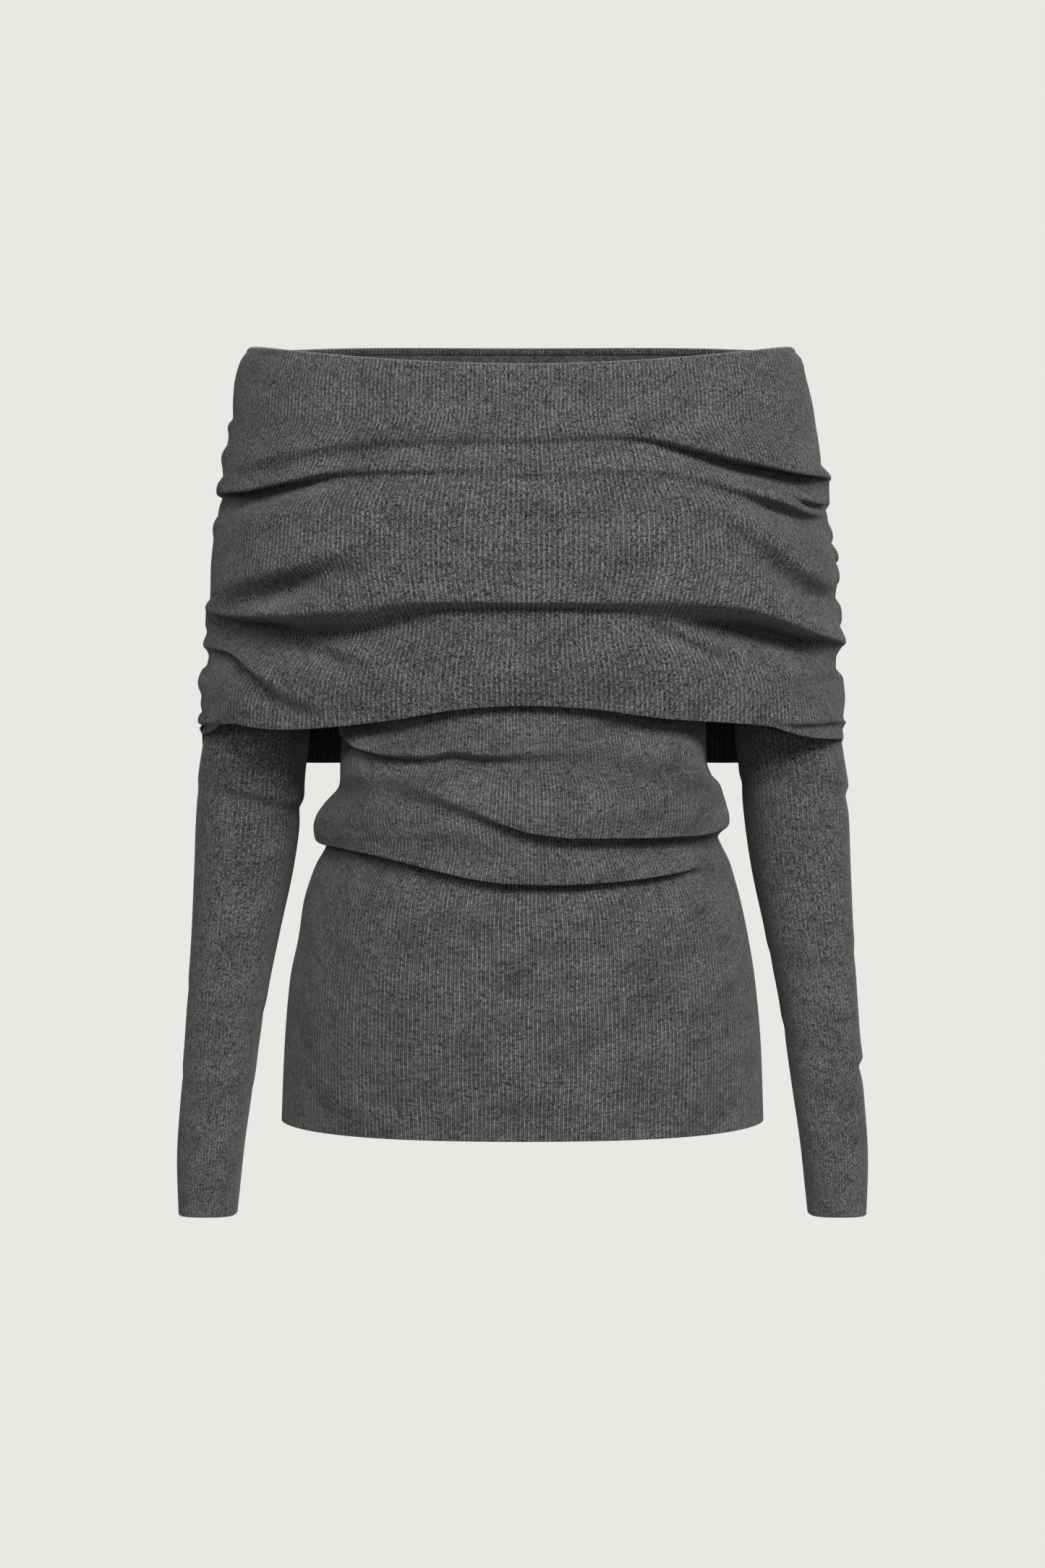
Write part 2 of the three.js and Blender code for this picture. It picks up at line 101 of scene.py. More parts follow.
# How strongly each pattern shows with a grain of 0 and of 1. All but "column" are the yarn's
# random tone, and "column" is painted shade between the stitches' columns.
WEIGHTS = {
    "each": (0.7, 0.35), "thread": (2.4, 0.5), "fleck": (2.4, 2), "speck": (0.9, 1.9),
    "streak": (1.4, 0.5), "cloud": (3.6, 2.6), "column": (0.95, 0.4),
}
# How strongly painted light on the ribs' crests, painted shade in their grooves and painted shade
# between the stitches' rows show.
CREST_SHADE_WEIGHT, STITCH_SHADE_WEIGHT = 0.65, 0.15
# A stitch's sides rise by this many rows from its middle.
SLANT = 1.1
# The darkest the yarn gets, as a share of its colour.
DARKEST = 0.08

# The camera's sensor in mm, and the point that the lamps face.
SENSOR = 36
AIM = (0, 0, -0.28)


def mix(a, b, share):
    """A value from a, at share 0, to b, at share 1."""
    return a + (b - a) * share


def smooth(share):
    """An S-shaped rise from 0 to 1, level at both ends."""
    share = np.clip(share, 0, 1)
    return share * share * (3 - 2 * share)


def bump(distance, width):
    """A bell of height 1: e to the power of minus the square of distance over width."""
    return np.exp(-((distance / width) ** 2))


def unit(vectors):
    """Vectors of length 1 along the last axis."""
    length = np.linalg.norm(vectors, axis=-1, keepdims=True)
    return vectors / np.maximum(length, 1e-9)


class Table:
    """Rows of numbers under named columns, read as smooth curves along the first column.

    Between two rows a curve is a cubic. Its slope at a row is the harmonic mean of the
    straight slopes on both sides, or level at a peak, so it never overshoots a row.
    """

    def __init__(self, columns, rows):
        values = np.array(rows, float).T
        self.along = values[0]
        self.columns = {}
        for name, column in zip(columns.split()[1:], values[1:]):
            straight = np.diff(column) / np.diff(self.along)
            before, after = straight[:-1], straight[1:]
            same_way = before * after > 0
            total = np.where(same_way, before + after, 1)
            inner = np.where(same_way, 2 * before * after / total, 0)
            self.columns[name] = column, np.concatenate([straight[:1], inner, straight[-1:]])

    def __call__(self, name, at):
        column, slope = self.columns[name]
        at = np.clip(at, self.along[0], self.along[-1])
        i = np.clip(np.searchsorted(self.along, at, "right") - 1, 0, len(self.along) - 2)
        span = self.along[i + 1] - self.along[i]
        t = (at - self.along[i]) / span
        bend = t * t * (3 - 2 * t)
        pull = (1 - t) * slope[i] - t * slope[i + 1]
        return mix(column[i], column[i + 1], bend) + span * t * (1 - t) * pull


# Half widths to the left and right, depths to the front and back, and how much fuller
# than an ellipse each level section is.
COLLAR = Table("down left right front back full", [
    (-8, 185.5, 184, 76, 84, 0.2),
    (0, 188, 186, 81, 86, 0.2),
    (4, 193, 191, 85, 87, 0.2),
    (9, 196.5, 195, 89, 88, 0.2),
    (20, 200, 197.5, 96, 91, 0.22),
    (40, 203.5, 202.5, 103.5, 95, 0.22),
    (60, 206.5, 206, 109, 98, 0.24),
    (80, 210.5, 211.5, 113, 101, 0.24),
    (100, 214, 214.5, 118, 103, 0.25),
    (128, 216.5, 216.5, 122, 105, 0.25),
    (150, 218.5, 220, 124.5, 105, 0.25),
    (180, 221, 222, 125, 104, 0.25),
    (208, 223.5, 225, 122, 103, 0.25),
    (232, 226, 224.5, 118, 103, 0.25),
    (262, 226, 225.5, 113, 105, 0.25),
    (295, 225, 225, 112, 108, 0.25),
])

TORSO = Table("down left right front back full corner", [
    (110, 130, 130, 100, 91, 0.15, 0),
    (150, 133, 133, 113, 93, 0.15, 0),
    (200, 129, 129, 108, 88, 0.25, 0),
    (235, 128, 128, 106, 83, 0.3, 0.3),
    (262, 127.5, 127.3, 107, 80, 0.35, 1.3),
    (286, 126.7, 127.5, 107, 78, 0.4, 1.7),
    (297, 126.5, 131, 107, 78, 0.4, 1.6),
    (303, 127, 136.5, 107, 78, 0.4, 1.2),
    (307, 128.5, 138.5, 107, 78, 0.4, 0.9),
    (312, 133, 140, 107.5, 79, 0.35, 0.7),
    (318, 138.5, 142, 108, 79, 0.3, 0.5),
    (328, 144.6, 144.2, 109, 80, 0.25, 0.3),
    (333, 145.7, 144.2, 109.5, 81, 0.2, 0.2),
    (337, 145.3, 142.8, 109, 81, 0.2, 0.1),
    (341, 144, 141.8, 108, 82, 0.15, 0),
    (347, 143, 142, 106, 83, 0.15, 0),
    (361, 145.4, 145.5, 104, 88, 0.15, 0),
    (386, 152.5, 152.2, 103.5, 94, 0.14, 0),
    (410, 156, 157.2, 105, 100, 0.13, 0),
    (440, 162, 162, 108, 108, 0.12, 0),
    (489, 166, 166.3, 110, 115, 0.1, 0),
    (540, 168, 168, 110, 113, 0.1, 0),
])

# Where each arm's centre is, and its half width and half depth.
ARM = Table("down across back width depth", [
    (110, 167, 8, 36.6, 46),
    (150, 173, 8, 36.5, 46),
    (200, 178, 7, 36, 45),
    (262, 184.5, 6, 36, 43),
    (278, 186.5, 6, 37, 43),
    (295, 189, 6, 37, 42.5),
    (330, 192, 8, 36.3, 41.5),
    (362, 195, 10, 34.6, 40),
    (410, 201, 8, 30.5, 37),
    (463, 207.5, 1, 26.8, 33),
    (510, 212, -6, 24.8, 30),
    (564, 217, -13, 22.7, 27),
    (605, 218.2, -17, 19.9, 25),
])

# How far from the front middle the body's armhole edge is, from the neckline to the armpit.
ARMHOLE = Table("share angle", [(0, 42), (0.5, 66), (1, 89.9)])

FRONT_EDGE = Table("across down", [
    (-1, 269), (-0.96, 267), (-0.9, 262), (-0.85, 261), (-0.78, 263.5), (-0.68, 265),
    (-0.58, 264), (-0.4, 260), (-0.15, 251), (0, 249), (0.15, 250.5), (0.41, 258),
    (0.62, 261), (0.7, 263), (0.78, 267), (0.86, 270.5), (1, 272),
])
BACK_EDGE = Table("across down", [
    (-1, 276), (-0.9, 286), (-0.6, 290), (0, 288), (0.6, 290), (0.9, 285), (1, 274),
])


class Crease:
    """A fold line across a panel, as places across, heights, depths, edges and swells.

    The cloth above the line swells out, over the height "reach", and then turns in over
    the height "edge", small where the fold is sharp. "below" is how far down the hollow
    recovers. "tuck" is how far a sharp fold hangs down over its line, as a share of the
    depth.
    """

    def __init__(self, reach, below, tuck, rows):
        self.reach, self.below, self.tuck = reach, below, tuck
        self.line = Table("across down depth edge swell", rows)

    def press(self, across, down, half):
        """How far the fold takes the cloth in, down and aside at each place.

        With a step from 0 to 1 over the line's edge, in is depth times the step's bell
        below, less the swell's bell above. Down is depth times tuck just above the line
        and a third of that upwards below it. Both follow the line's own slope.
        """
        slope = (self.line("down", across + 0.01) - self.line("down", across - 0.01)) / (
            0.02 * half
        )
        low = down - self.line("down", across)
        depth = self.line("depth", across)
        edge = self.line("edge", across)
        step = smooth((low / edge + 1) / 2)
        swell = self.line("swell", across) * (1 - step) * bump(low, self.reach)
        inward = depth * step * bump(low, self.below) - swell
        over = (1 - step) * bump(low, 5 + edge) - 0.3 * step * bump(low, 4 + edge)
        pull = depth * self.tuck * smooth(2 - edge / 3) * over / np.hypot(1, slope)
        return np.stack([inward, pull, -slope * pull])


COLLAR_FRONT_CREASES = [
    Crease(14, 16, 0.4, [
        (-1, 93, 0, 6, 0), (-0.77, 84, 6, 6, 2.2), (-0.54, 76, 6, 5.5, 2.4),
        (-0.3, 72.5, 4, 5, 1.6), (0, 72.5, 3.4, 4.5, 1.2), (0.3, 69.5, 4, 4, 1.6),
        (0.41, 71, 6.5, 4, 2.4), (0.53, 76.5, 11, 4, 3.8), (0.69, 83.5, 17, 4, 4.8),
        (0.85, 88, 15.5, 3, 4.8), (0.95, 90.5, 7.5, 1.6, 2.4), (1, 92, 1.5, 1.4, 0),
    ]),
    Crease(11, 15, 0.4, [
        (-1, 103, 1.5, 1.4, 0), (-0.95, 101.5, 8.5, 2, 2.4), (-0.85, 100, 15.5, 3, 4.8),
        (-0.69, 96, 14.5, 4, 4.6), (-0.53, 93, 7.5, 4.6, 2.8), (-0.23, 93, 3.6, 4, 1.4),
        (0.07, 96, 2.4, 4.5, 1.4), (0.37, 93, 3, 4, 1.6), (0.52, 98, 5, 5, 2),
        (0.65, 106.5, 8, 5, 2.6), (0.76, 112.5, 13, 5, 3.4), (0.89, 118, 12, 4.6, 2.8),
        (1, 119, 0, 4, 0),
    ]),
    Crease(9, 9, 0.3, [
        (0.7, 99, 0, 3, 0), (0.82, 106, 3, 3, 1.2), (0.91, 109, 8, 2.8, 2),
        (0.97, 110, 4, 2, 1), (1, 110, 0, 2, 0),
    ]),
    Crease(18, 18, 0.2, [
        (-0.98, 178, 0, 9, 0), (-0.86, 172.5, 13, 8, 4), (-0.71, 165.5, 19, 8, 5.5),
        (-0.59, 158, 12, 8, 4), (-0.42, 149, 0, 8, 0),
    ]),
    Crease(22, 17, 0.2, [
        (0.42, 112, 0, 9, 0), (0.55, 124, 2.5, 9, 3), (0.66, 140, 5, 9, 5),
        (0.78, 158, 10, 8, 6), (0.88, 168, 10.5, 7, 5), (0.96, 171, 5, 6, 2), (1, 171, 0, 5, 0),
    ]),
    Crease(22, 24, 0.25, [
        (-1, 184, 1.5, 4, 0), (-0.93, 189, 16, 4.6, 4), (-0.8, 191.5, 25, 5, 7),
        (-0.66, 194, 28, 7.5, 7.5), (-0.52, 193, 23, 9, 6), (-0.37, 187, 16, 6.5, 4.5),
        (-0.19, 182, 8.5, 4, 3.4), (0.07, 182, 7.5, 3.4, 3), (0.3, 183.5, 8.5, 4.5, 3.4),
        (0.46, 186, 15, 8, 6), (0.58, 188, 22, 7, 7.5), (0.72, 191.5, 28, 5, 8),
        (0.86, 198.5, 23, 4, 6), (0.95, 203.5, 9, 2.2, 2), (1, 207, 1.5, 1.4, 0),
    ]),
    Crease(12, 12, 0.2, [
        (-0.82, 196, 0, 7, 0), (-0.68, 206, 8, 7, 2.4), (-0.57, 214, 9, 7, 2.6),
        (-0.44, 221, 0, 7, 0),
    ]),
    Crease(12, 13, 0.2, [
        (0.3, 190, 0, 7, 0), (0.44, 199, 7, 6.5, 2.4), (0.55, 211, 6, 6.5, 2.4),
        (0.7, 222, 0, 7, 0),
    ]),
    Crease(10, 12, 0.3, [
        (-1, 209, 1, 2, 0), (-0.93, 212, 8, 3, 2.4), (-0.77, 231, 10, 5, 3.4),
        (-0.66, 246, 6, 6, 2), (-0.5, 258, 0, 6, 0),
    ]),
    Crease(6, 7, 0.2, [
        (-1, 262.5, 3.5, 1.8, 1), (-0.93, 262, 3.5, 1.8, 1), (-0.87, 258, 1.5, 2.4, 0.5),
        (-0.8, 254, 0, 3, 0),
    ]),
    Crease(7, 7, 0.2, [
        (0.62, 260, 0, 3, 0), (0.72, 262, 1.5, 2.6, 0.6), (0.82, 262.5, 4, 2.2, 1.2),
        (0.93, 261, 4, 2.2, 1.2), (1, 260, 2, 2, 0.5),
    ]),
    Crease(9, 9, 0.2, [
        (0.72, 236, 0, 5, 0), (0.86, 232, 4, 5, 1.4), (0.97, 229, 3, 4, 0.8), (1, 229, 0, 4, 0),
    ]),
]

COLLAR_BACK_CREASES = [
    Crease(14, 14, 0.4, [
        (-1, 103, 1.5, 1.4, 0), (-0.8, 88, 6, 2.5, 3), (-0.45, 64, 2.5, 6, 1),
        (0, 58, 1.5, 6, 0.6), (0.4, 63, 2, 6, 1), (0.8, 80, 5, 3, 2.4), (1, 92, 1.5, 1.4, 0),
    ]),
    Crease(14, 14, 0.3, [
        (-1, 152, 0, 5, 0), (-0.8, 139, 5.5, 5, 2.6), (-0.5, 124, 4, 6, 2), (-0.15, 116, 0, 7, 0),
    ]),
    Crease(14, 14, 0.3, [
        (0.1, 112, 0, 7, 0), (0.5, 122, 3.5, 6, 1.8), (0.8, 140, 5, 4, 2.4), (1, 156, 0, 4, 0),
    ]),
    Crease(16, 18, 0.3, [
        (-1, 184, 0.5, 5, 0), (-0.85, 191, 8, 4, 3.4), (-0.5, 182, 6, 6, 2.4),
        (0, 174, 5, 6, 2), (0.5, 184, 6.5, 6, 2.6), (0.85, 197, 8, 3, 3.4), (1, 207, 1.5, 1.4, 0),
    ]),
    Crease(12, 12, 0.3, [
        (-1, 209, 1, 2, 0), (-0.85, 220, 5, 3, 2.4), (-0.5, 232, 3, 6, 1.4), (0, 228, 0, 7, 0),
    ]),
    Crease(12, 12, 0.3, [
        (0.2, 226, 0, 7, 0), (0.55, 234, 3.5, 6, 1.6), (0.8, 244, 4, 5, 1.8), (1, 246, 0, 5, 0),
    ]),
]

BODY_FRONT_CREASES = [
    Crease(12, 13, 0.2, [
        (-1, 266, 3, 3, 0), (-0.95, 271, 6, 2, 2), (-0.83, 279, 7, 1.6, 3),
        (-0.64, 283.5, 7, 2.2, 3), (-0.48, 284, 6.5, 3, 2.6), (-0.34, 281.5, 6.5, 3.4, 2.6),
        (-0.2, 284, 6.5, 3.4, 2.4), (-0.05, 284.5, 5.5, 4.5, 2), (0.25, 283.5, 3.5, 6, 1.4),
        (0.6, 286, 0, 7, 0),
    ]),
    Crease(15, 13, 0.5, [
        (-0.8, 300, 0, 8, 0), (-0.6, 305, 2.5, 7, 1), (-0.4, 313, 4.5, 6, 2.2),
        (-0.2, 323, 6, 4.5, 3), (-0.08, 328.5, 7, 3.4, 3.6), (0.05, 333.5, 7.5, 2.2, 3.6),
        (0.25, 336, 8, 1.6, 3.4), (0.56, 336, 8, 1.4, 3), (0.8, 335.5, 7.5, 1.4, 2),
        (0.94, 335.5, 7, 4, 0.6), (1, 336, 6.5, 6, 0),
    ]),
    Crease(13, 13, 0.55, [
        (-1, 343, 7, 3.6, 0), (-0.94, 343, 8, 2, 0.8), (-0.77, 346, 8, 1.3, 2.4),
        (-0.57, 352, 7.5, 1.3, 3), (-0.39, 358, 7.5, 1.3, 3.2), (-0.21, 363.5, 7.5, 1.3, 3.4),
        (-0.03, 366.5, 7.5, 1.3, 3.4), (0.16, 367, 7.5, 1.3, 3.4), (0.34, 366, 7.5, 1.4, 3.4),
        (0.52, 364, 7.5, 1.6, 3.2), (0.7, 361.5, 7, 2.4, 2.6), (0.84, 360, 4.5, 4.5, 1.6),
        (1, 360, 0, 7, 0),
    ]),
]

BODY_BACK_CREASES = [
    Crease(13, 13, 0.4, [
        (-1, 343, 7, 3.6, 0), (-0.94, 342.5, 7, 2.8, 0.8), (-0.8, 338, 6.5, 2.2, 2.4),
        (-0.3, 324, 5, 4, 2.4), (0.1, 320, 4, 5, 2), (0.6, 329, 5.5, 3, 2.4),
        (0.85, 334.5, 7, 3.4, 1.6), (1, 336, 6.5, 6, 0),
    ]),
    Crease(13, 13, 0.4, [
        (-0.9, 372, 0, 7, 0), (-0.5, 362, 4, 5, 2), (-0.05, 358, 6, 3.4, 3),
        (0.45, 363, 4.5, 5, 2), (0.85, 374, 0, 7, 0),
    ]),
]

SLEEVE_LEFT_CREASES = [
    Crease(12, 12, 0.3, [
        (-1, 318, 2, 5, 1), (-0.75, 317, 3.4, 4, 1.8), (-0.5, 311, 3, 4.5, 1.6),
        (-0.25, 305, 1.2, 5, 0.6), (0.1, 303, 0.5, 5, 0), (0.5, 306, 2, 5, 1),
        (1, 318, 2, 5, 1),
    ]),
    Crease(12, 10, 0.2, [
        (-1, 516, 0.8, 6, 0.4), (-0.6, 514, 1.6, 6, 0.8), (-0.2, 510, 0.4, 6, 0.2),
        (0.5, 452, 1.5, 6, 0.7), (0.8, 480, 1, 6, 0.4), (1, 516, 0.8, 6, 0.4),
    ]),
    Crease(12, 10, 0.2, [
        (-1, 462, 0.8, 6, 0.4), (-0.5, 456, 0.5, 6, 0.3), (0, 440, 0.5, 6, 0.2),
        (0.5, 410, 2, 6, 0.8), (1, 462, 0.8, 6, 0.4),
    ]),
]

SLEEVE_RIGHT_CREASES = [
    Crease(12, 10, 0.3, [
        (-1, 300, 1, 5, 0.4), (-0.5, 296, 1, 5, 0.5), (0, 309, 2, 5, 1),
        (0.4, 306, 1, 5, 0.4), (1, 300, 1, 5, 0.4),
    ]),
    Crease(12, 10, 0.2, [
        (-1, 470, 0.6, 6, 0.3), (-0.6, 488, 0.6, 6, 0.3), (-0.25, 497, 2.6, 4.5, 1.2),
        (0.1, 496, 2.4, 4.5, 1), (0.5, 480, 2, 6, 0.8), (1, 470, 0.6, 6, 0.3),
    ]),
    Crease(12, 10, 0.2, [
        (-1, 420, 0.5, 6, 0.3), (0, 418, 0.6, 6, 0.3), (0.5, 412, 2, 6, 1),
        (1, 420, 0.5, 6, 0.3),
    ]),
]

# The tables of the front and of the back.
COLLAR_EDGES = {True: FRONT_EDGE, False: BACK_EDGE}
COLLAR_CREASES = {True: COLLAR_FRONT_CREASES, False: COLLAR_BACK_CREASES}
BODY_CREASES = {True: BODY_FRONT_CREASES, False: BODY_BACK_CREASES}

# How far the ribs lean outwards at each height of the collar and the body, in mm.
COLLAR_LEAN = Table("down out", [
    (-8, 0), (30, 0), (55, -2), (75, 4), (95, 8), (122, 17), (150, 15), (190, 3), (202, 2),
    (220, 7), (245, 10), (275, 9),
])
BODY_LEAN = Table("down out", [
    (110, 0), (250, 0), (285, 4), (308, 8), (343, -2), (358, 0), (372, 4), (400, 5), (541, 0),
])

# The collar is gathered along the seam down each upper arm. How far each pucker stands
# out at the seam, and how far from the seam it reaches.
LEFT_GATHERS = Table("down out reach", [
    (25, 0, 26), (40, -1.6, 26), (52, -3.4, 30), (55, -0.2, 30), (64, -2.3, 26),
    (69.5, -2.5, 30), (76, 0.3, 36), (86, -2.5, 36), (95.5, -4.4, 36), (99, -0.4, 36),
    (102, -0.8, 30), (105, -4.4, 30), (114, -2.7, 30), (121, -2.8, 36), (126.5, -0.2, 36),
    (137, -2, 30), (153, -2.2, 26), (173, -3.5, 36), (178.5, -3.6, 44), (181, 0, 50),
    (192, -0.2, 50), (198, -2, 36), (206, -0.1, 36), (213, -4.6, 40), (220.5, -5, 40),
    (224, -1.8, 36), (232, 0.4, 36), (239, -2.6, 30), (246, -2, 26), (251, -3.6, 30),
    (257, -0.2, 26), (262, -2.6, 20), (265, -0.4, 20), (269, -2.3, 20),
])
RIGHT_GATHERS = Table("down out reach", [
    (30, 0, 26), (62, -0.7, 26), (77, -3.2, 30), (87.8, -5, 34), (90.8, 2, 34),
    (99, 0.8, 40), (109.5, -0.8, 30), (113, -3.9, 34), (125, -2.8, 26), (132, -0.3, 24),
    (138, -3.2, 24), (143, -3.8, 28), (146.5, 1.2, 30), (153.5, -3.8, 32), (161.5, 0.4, 34),
    (168, -3.3, 30), (178, -3.6, 30), (183, 0.2, 32), (190, -0.4, 32), (196, -3, 32),
    (205, 0.6, 38), (216, -4.9, 38), (224, -5.4, 38), (230, -0.4, 38), (242, 0.3, 36),
    (251, -1, 30), (257.5, -2.9, 26), (261, 0.5, 26), (265, -2, 22), (272, -2, 22),
])
GATHER_SLANT = Table("down left right", [
    (0, 0.1, 0.1), (60, -0.1, -0.1), (120, -0.2, -0.2), (160, -0.15, -0.25),
    (195, 0, -0.15), (225, 0.25, -0.05), (262, 0.1, 0),
])


def setting(name, description, default, unit="NONE"):
    """A number that the panel shows."""
    return FloatProperty(name=name, description=description, default=default, unit=unit)


def colour_setting(name, description, default):
    """A colour that the panel shows."""
    return FloatVectorProperty(
        name=name, description=description, default=default,
        subtype="COLOR", size=3, min=0, max=1,
    )


class KnitTopSizes(bpy.types.PropertyGroup):
    """Sizes of the top, in millimetres unless a unit says otherwise."""

    wall: setting("Knit thickness", "Thickness of the cloth, mm", 1.5)
    seam: setting("Seam gap", "Clearance at a seam, mm", 0.3)
    front_dip: setting("Front dip", "Drop of the front neckline, mm", 19)
    back_rise: setting("Back rise", "Rise of the back neckline, mm", 8)
    roll: setting("Fold radius", "Radius of the collar's top fold, mm", 3.5)
    collar_leg: setting("Turn-in", "The collar below its fold inside, mm", 2)
    armpit: setting("Armpit", "Depth of the armholes, mm", 110)
    arm_opens: setting("Armhole spread", "Sleeve's spread at its top, degrees", 60)
    hem: setting("Hem", "Length of the body's middle, mm", 540.5)
    hem_lift: setting("Hem lift", "How much higher the side hem is, mm", 3)
    cuff: setting("Cuff", "Length of the sleeves, mm", 600.5)
    collar_rib: setting("Collar rib", "Width of a rib on the collar, mm", 3.15)
    body_rib: setting("Body rib", "Width of a rib on the body, mm", 2.8)
    collar_row: setting("Collar row", "Height of a stitch on the collar, mm", 1.35)
    body_row: setting("Body row", "Height of a stitch on the body, mm", 1.18)
    rib_height: setting("Rib height", "Height of a rib, mm", 0.14)


class KnitTopColours(bpy.types.PropertyGroup):
    """Colours and finish of the knit, and its painted light and shade."""

    yarn: colour_setting("Yarn", "Middle colour of the marl yarn", (0.096, 0.096, 0.096))
    fleck: setting("Fleck", "Contrast of the marl's flecks", 0.9)
    cloud: setting("Cloud", "Contrast of the marl's soft patches", 0.4)
    # Painted shade in the rib grooves.
    groove_shade: setting("Groove", "How dark the rib's grooves are", 0.55)
    # Painted shade on the cloth's inner side: how light it leaves that side.
    inside: setting("Inside", "How light the inner side is", 0.55)
    roughness: setting("Roughness", "Roughness of the wool", 0.92)


class KnitTopStage(bpy.types.PropertyGroup):
    """The camera, backdrop, floor and lights."""

    distance: setting("Camera distance", "From the figure", 2.6, "LENGTH")
    height: setting("Camera height", "Above the shoulders", -0.25, "LENGTH")
    picture: setting("Picture height", "At the figure", 1.0948, "LENGTH")
    shift: setting("Picture shift", "Lens shift upwards", -0.0494)
    backdrop: colour_setting("Backdrop", "Colour behind the top", (0.815, 0.807, 0.776))
    floor_drop: setting("Floor", "Floor below the shoulders", 3, "LENGTH")
    floor_size: setting("Floor size", "Side of the floor", 4, "LENGTH")
    key: setting("Key light", "Power of the main light, W", 243)
    front: setting("Front light", "Power of the light in front, W", 17)
    fill_left: setting("Left light", "Power of the left light, W", 32)
    fill_right: setting("Right light", "Power of the right one, W", 42)
    rear: setting("Rear light", "Power of the light behind, W", 50)
    ambient: setting("Ambient", "Light from all round", 0.05)


def sizes():
    return bpy.context.scene.knit_top_sizes


def ring(section, down, turn):
    """A level section of the figure.

    Sideways: the half width times the sine of the turn, and front to back: the depth times
    its cosine. The half width runs smoothly from left to right and the depth from back
    to front, and the depth grows with the square of the sine, which fills the section
    out. Where a table has corners, its depth also grows with the sine's eighth power.
    """
    side, ahead = np.sin(turn), np.cos(turn)
    half = mix(section("left", down), section("right", down), (1 + side) / 2)
    middle = mix(section("back", down), section("front", down), (1 + ahead) / 2)
    fuller = section("full", down) * side**2
    if "corner" in section.columns:
        fuller = fuller + section("corner", down) * side**8
    depth = middle * (1 + fuller)
    return np.stack([half * side, -depth * ahead], -1)


def out_of(section, down, turn):
    """The level direction out of a ring, and how many mm of ring one radian covers."""
    step = 0.01
    along = ring(section, down, turn + step) - ring(section, down, turn - step)
    reach = np.linalg.norm(along, axis=-1)
    return np.stack([along[..., 1], -along[..., 0]], -1) / reach[..., None], reach / (2 * step)


def raised(level, down):
    """Points of a level section at their heights."""
    return np.concatenate([level, -down[..., None]], -1)


def neckline(turn):
    """Depth of the neckline: a dip in front, and a rise at the back."""
    s = sizes()
    front = s.front_dip * np.cos(turn) ** 2
    back = -s.back_rise * (1 - np.sin(turn) ** 4)
    return np.where(np.cos(turn) > 0, front, back)


def folded(creases, across, down, half):
    """The sum of what all the creases do to the cloth at each place."""
    total = np.zeros((3,) + np.broadcast(across, down).shape)
    for line in creases:
        total += line.press(across, down, half)
    return total


def gathered(side, away, down):
    """How far the puckers on one side press the cloth in: less the table's standing-out
    at each height, which fades with a bell as the cloth leaves the seam and slants."""
    table = LEFT_GATHERS if side == "left" else RIGHT_GATHERS
    at = down - GATHER_SLANT(side, down) * away
    return -table("out", at) * bump(away, table("reach", at))


def wavering(turn, down):
    """A small sideways wander of the ribs, in mm: two slow waves that beat together, and
    none at the side seams."""
    slow = np.sin(down / 13 + 2.5 * np.sin(3 * turn))
    quick = np.sin(down / 5.3 + 9 * turn)
    return (0.4 * slow + 0.15 * quick) * np.cos(turn) ** 2


def on_ring(section, down, turn, press):
    """Points of a folded sheet: the ring at a place moved aside, taken in along the ring's
    own outward direction, and lowered."""
    inward, drop, aside = press
    reach = out_of(section, down, turn)[1]
    moved = turn + aside / reach
    out = out_of(section, down, moved)[0]
    level = ring(section, down, moved) - out * inward[..., None]
    return raised(level, down + drop)


def collar_surface(turn, along, is_front):
    """The collar's outer face: -2 to -1 is the turn-in, -1 to 0 a half circle over the top
    edge, and 0 to 1 the hanging cloth down to the edge's table."""
    s = sizes()
    turn, along = np.broadcast_arrays(turn, along)
    across = np.sin(turn)
    top = neckline(turn) + s.roll
    edge = COLLAR_EDGES[is_front]("down", across)
    rounding = np.clip(-along, 0, 1) * math.pi
    down = np.where(along >= 0, mix(top, edge, along), top - s.roll * np.sin(rounding))
    down = np.where(along < -1, top - (along + 1) * s.collar_leg, down)
    inward = s.roll * (1 - np.cos(rounding))
    section_down = np.maximum(down, top)
    seam_turn = np.sign(across + 1e-12) * math.pi / 2
    here = ring(COLLAR, section_down, turn)
    away = np.linalg.norm(here - ring(COLLAR, section_down, seam_turn), axis=-1)
    left = gathered("left", away, section_down)
    right = gathered("right", away, section_down)
    press = folded(COLLAR_CREASES[is_front], across, section_down, HALF_COLLAR)
    press[0] += np.where(across < 0, left, right)
    press[2] += COLLAR_LEAN("out", section_down) * np.sin(2 * turn) + wavering(turn, down)
    press *= smooth((down - top) / COLLAR_FADE) * (along > 0)
    press[0] += inward
    points = on_ring(COLLAR, section_down, turn, press)
    points[..., 2] += section_down - down
    return points


def yoke(turn, share):
    """The inner layer's outer face above the armpits: from the neckline's ring to the
    torso's with an S-shaped blend."""
    s = sizes()
    below = s.collar_leg + s.seam / 6
    down = mix(neckline(turn) + s.roll + below, s.armpit, share)
    torso = ring(TORSO, np.full_like(down, s.armpit), turn)
    out = out_of(COLLAR, down - below, turn)[0]
    neck = ring(COLLAR, down - below, turn) - out * (2 * s.roll - s.wall)
    return raised(mix(torso, neck, smooth(1 - share)[..., None]), down)


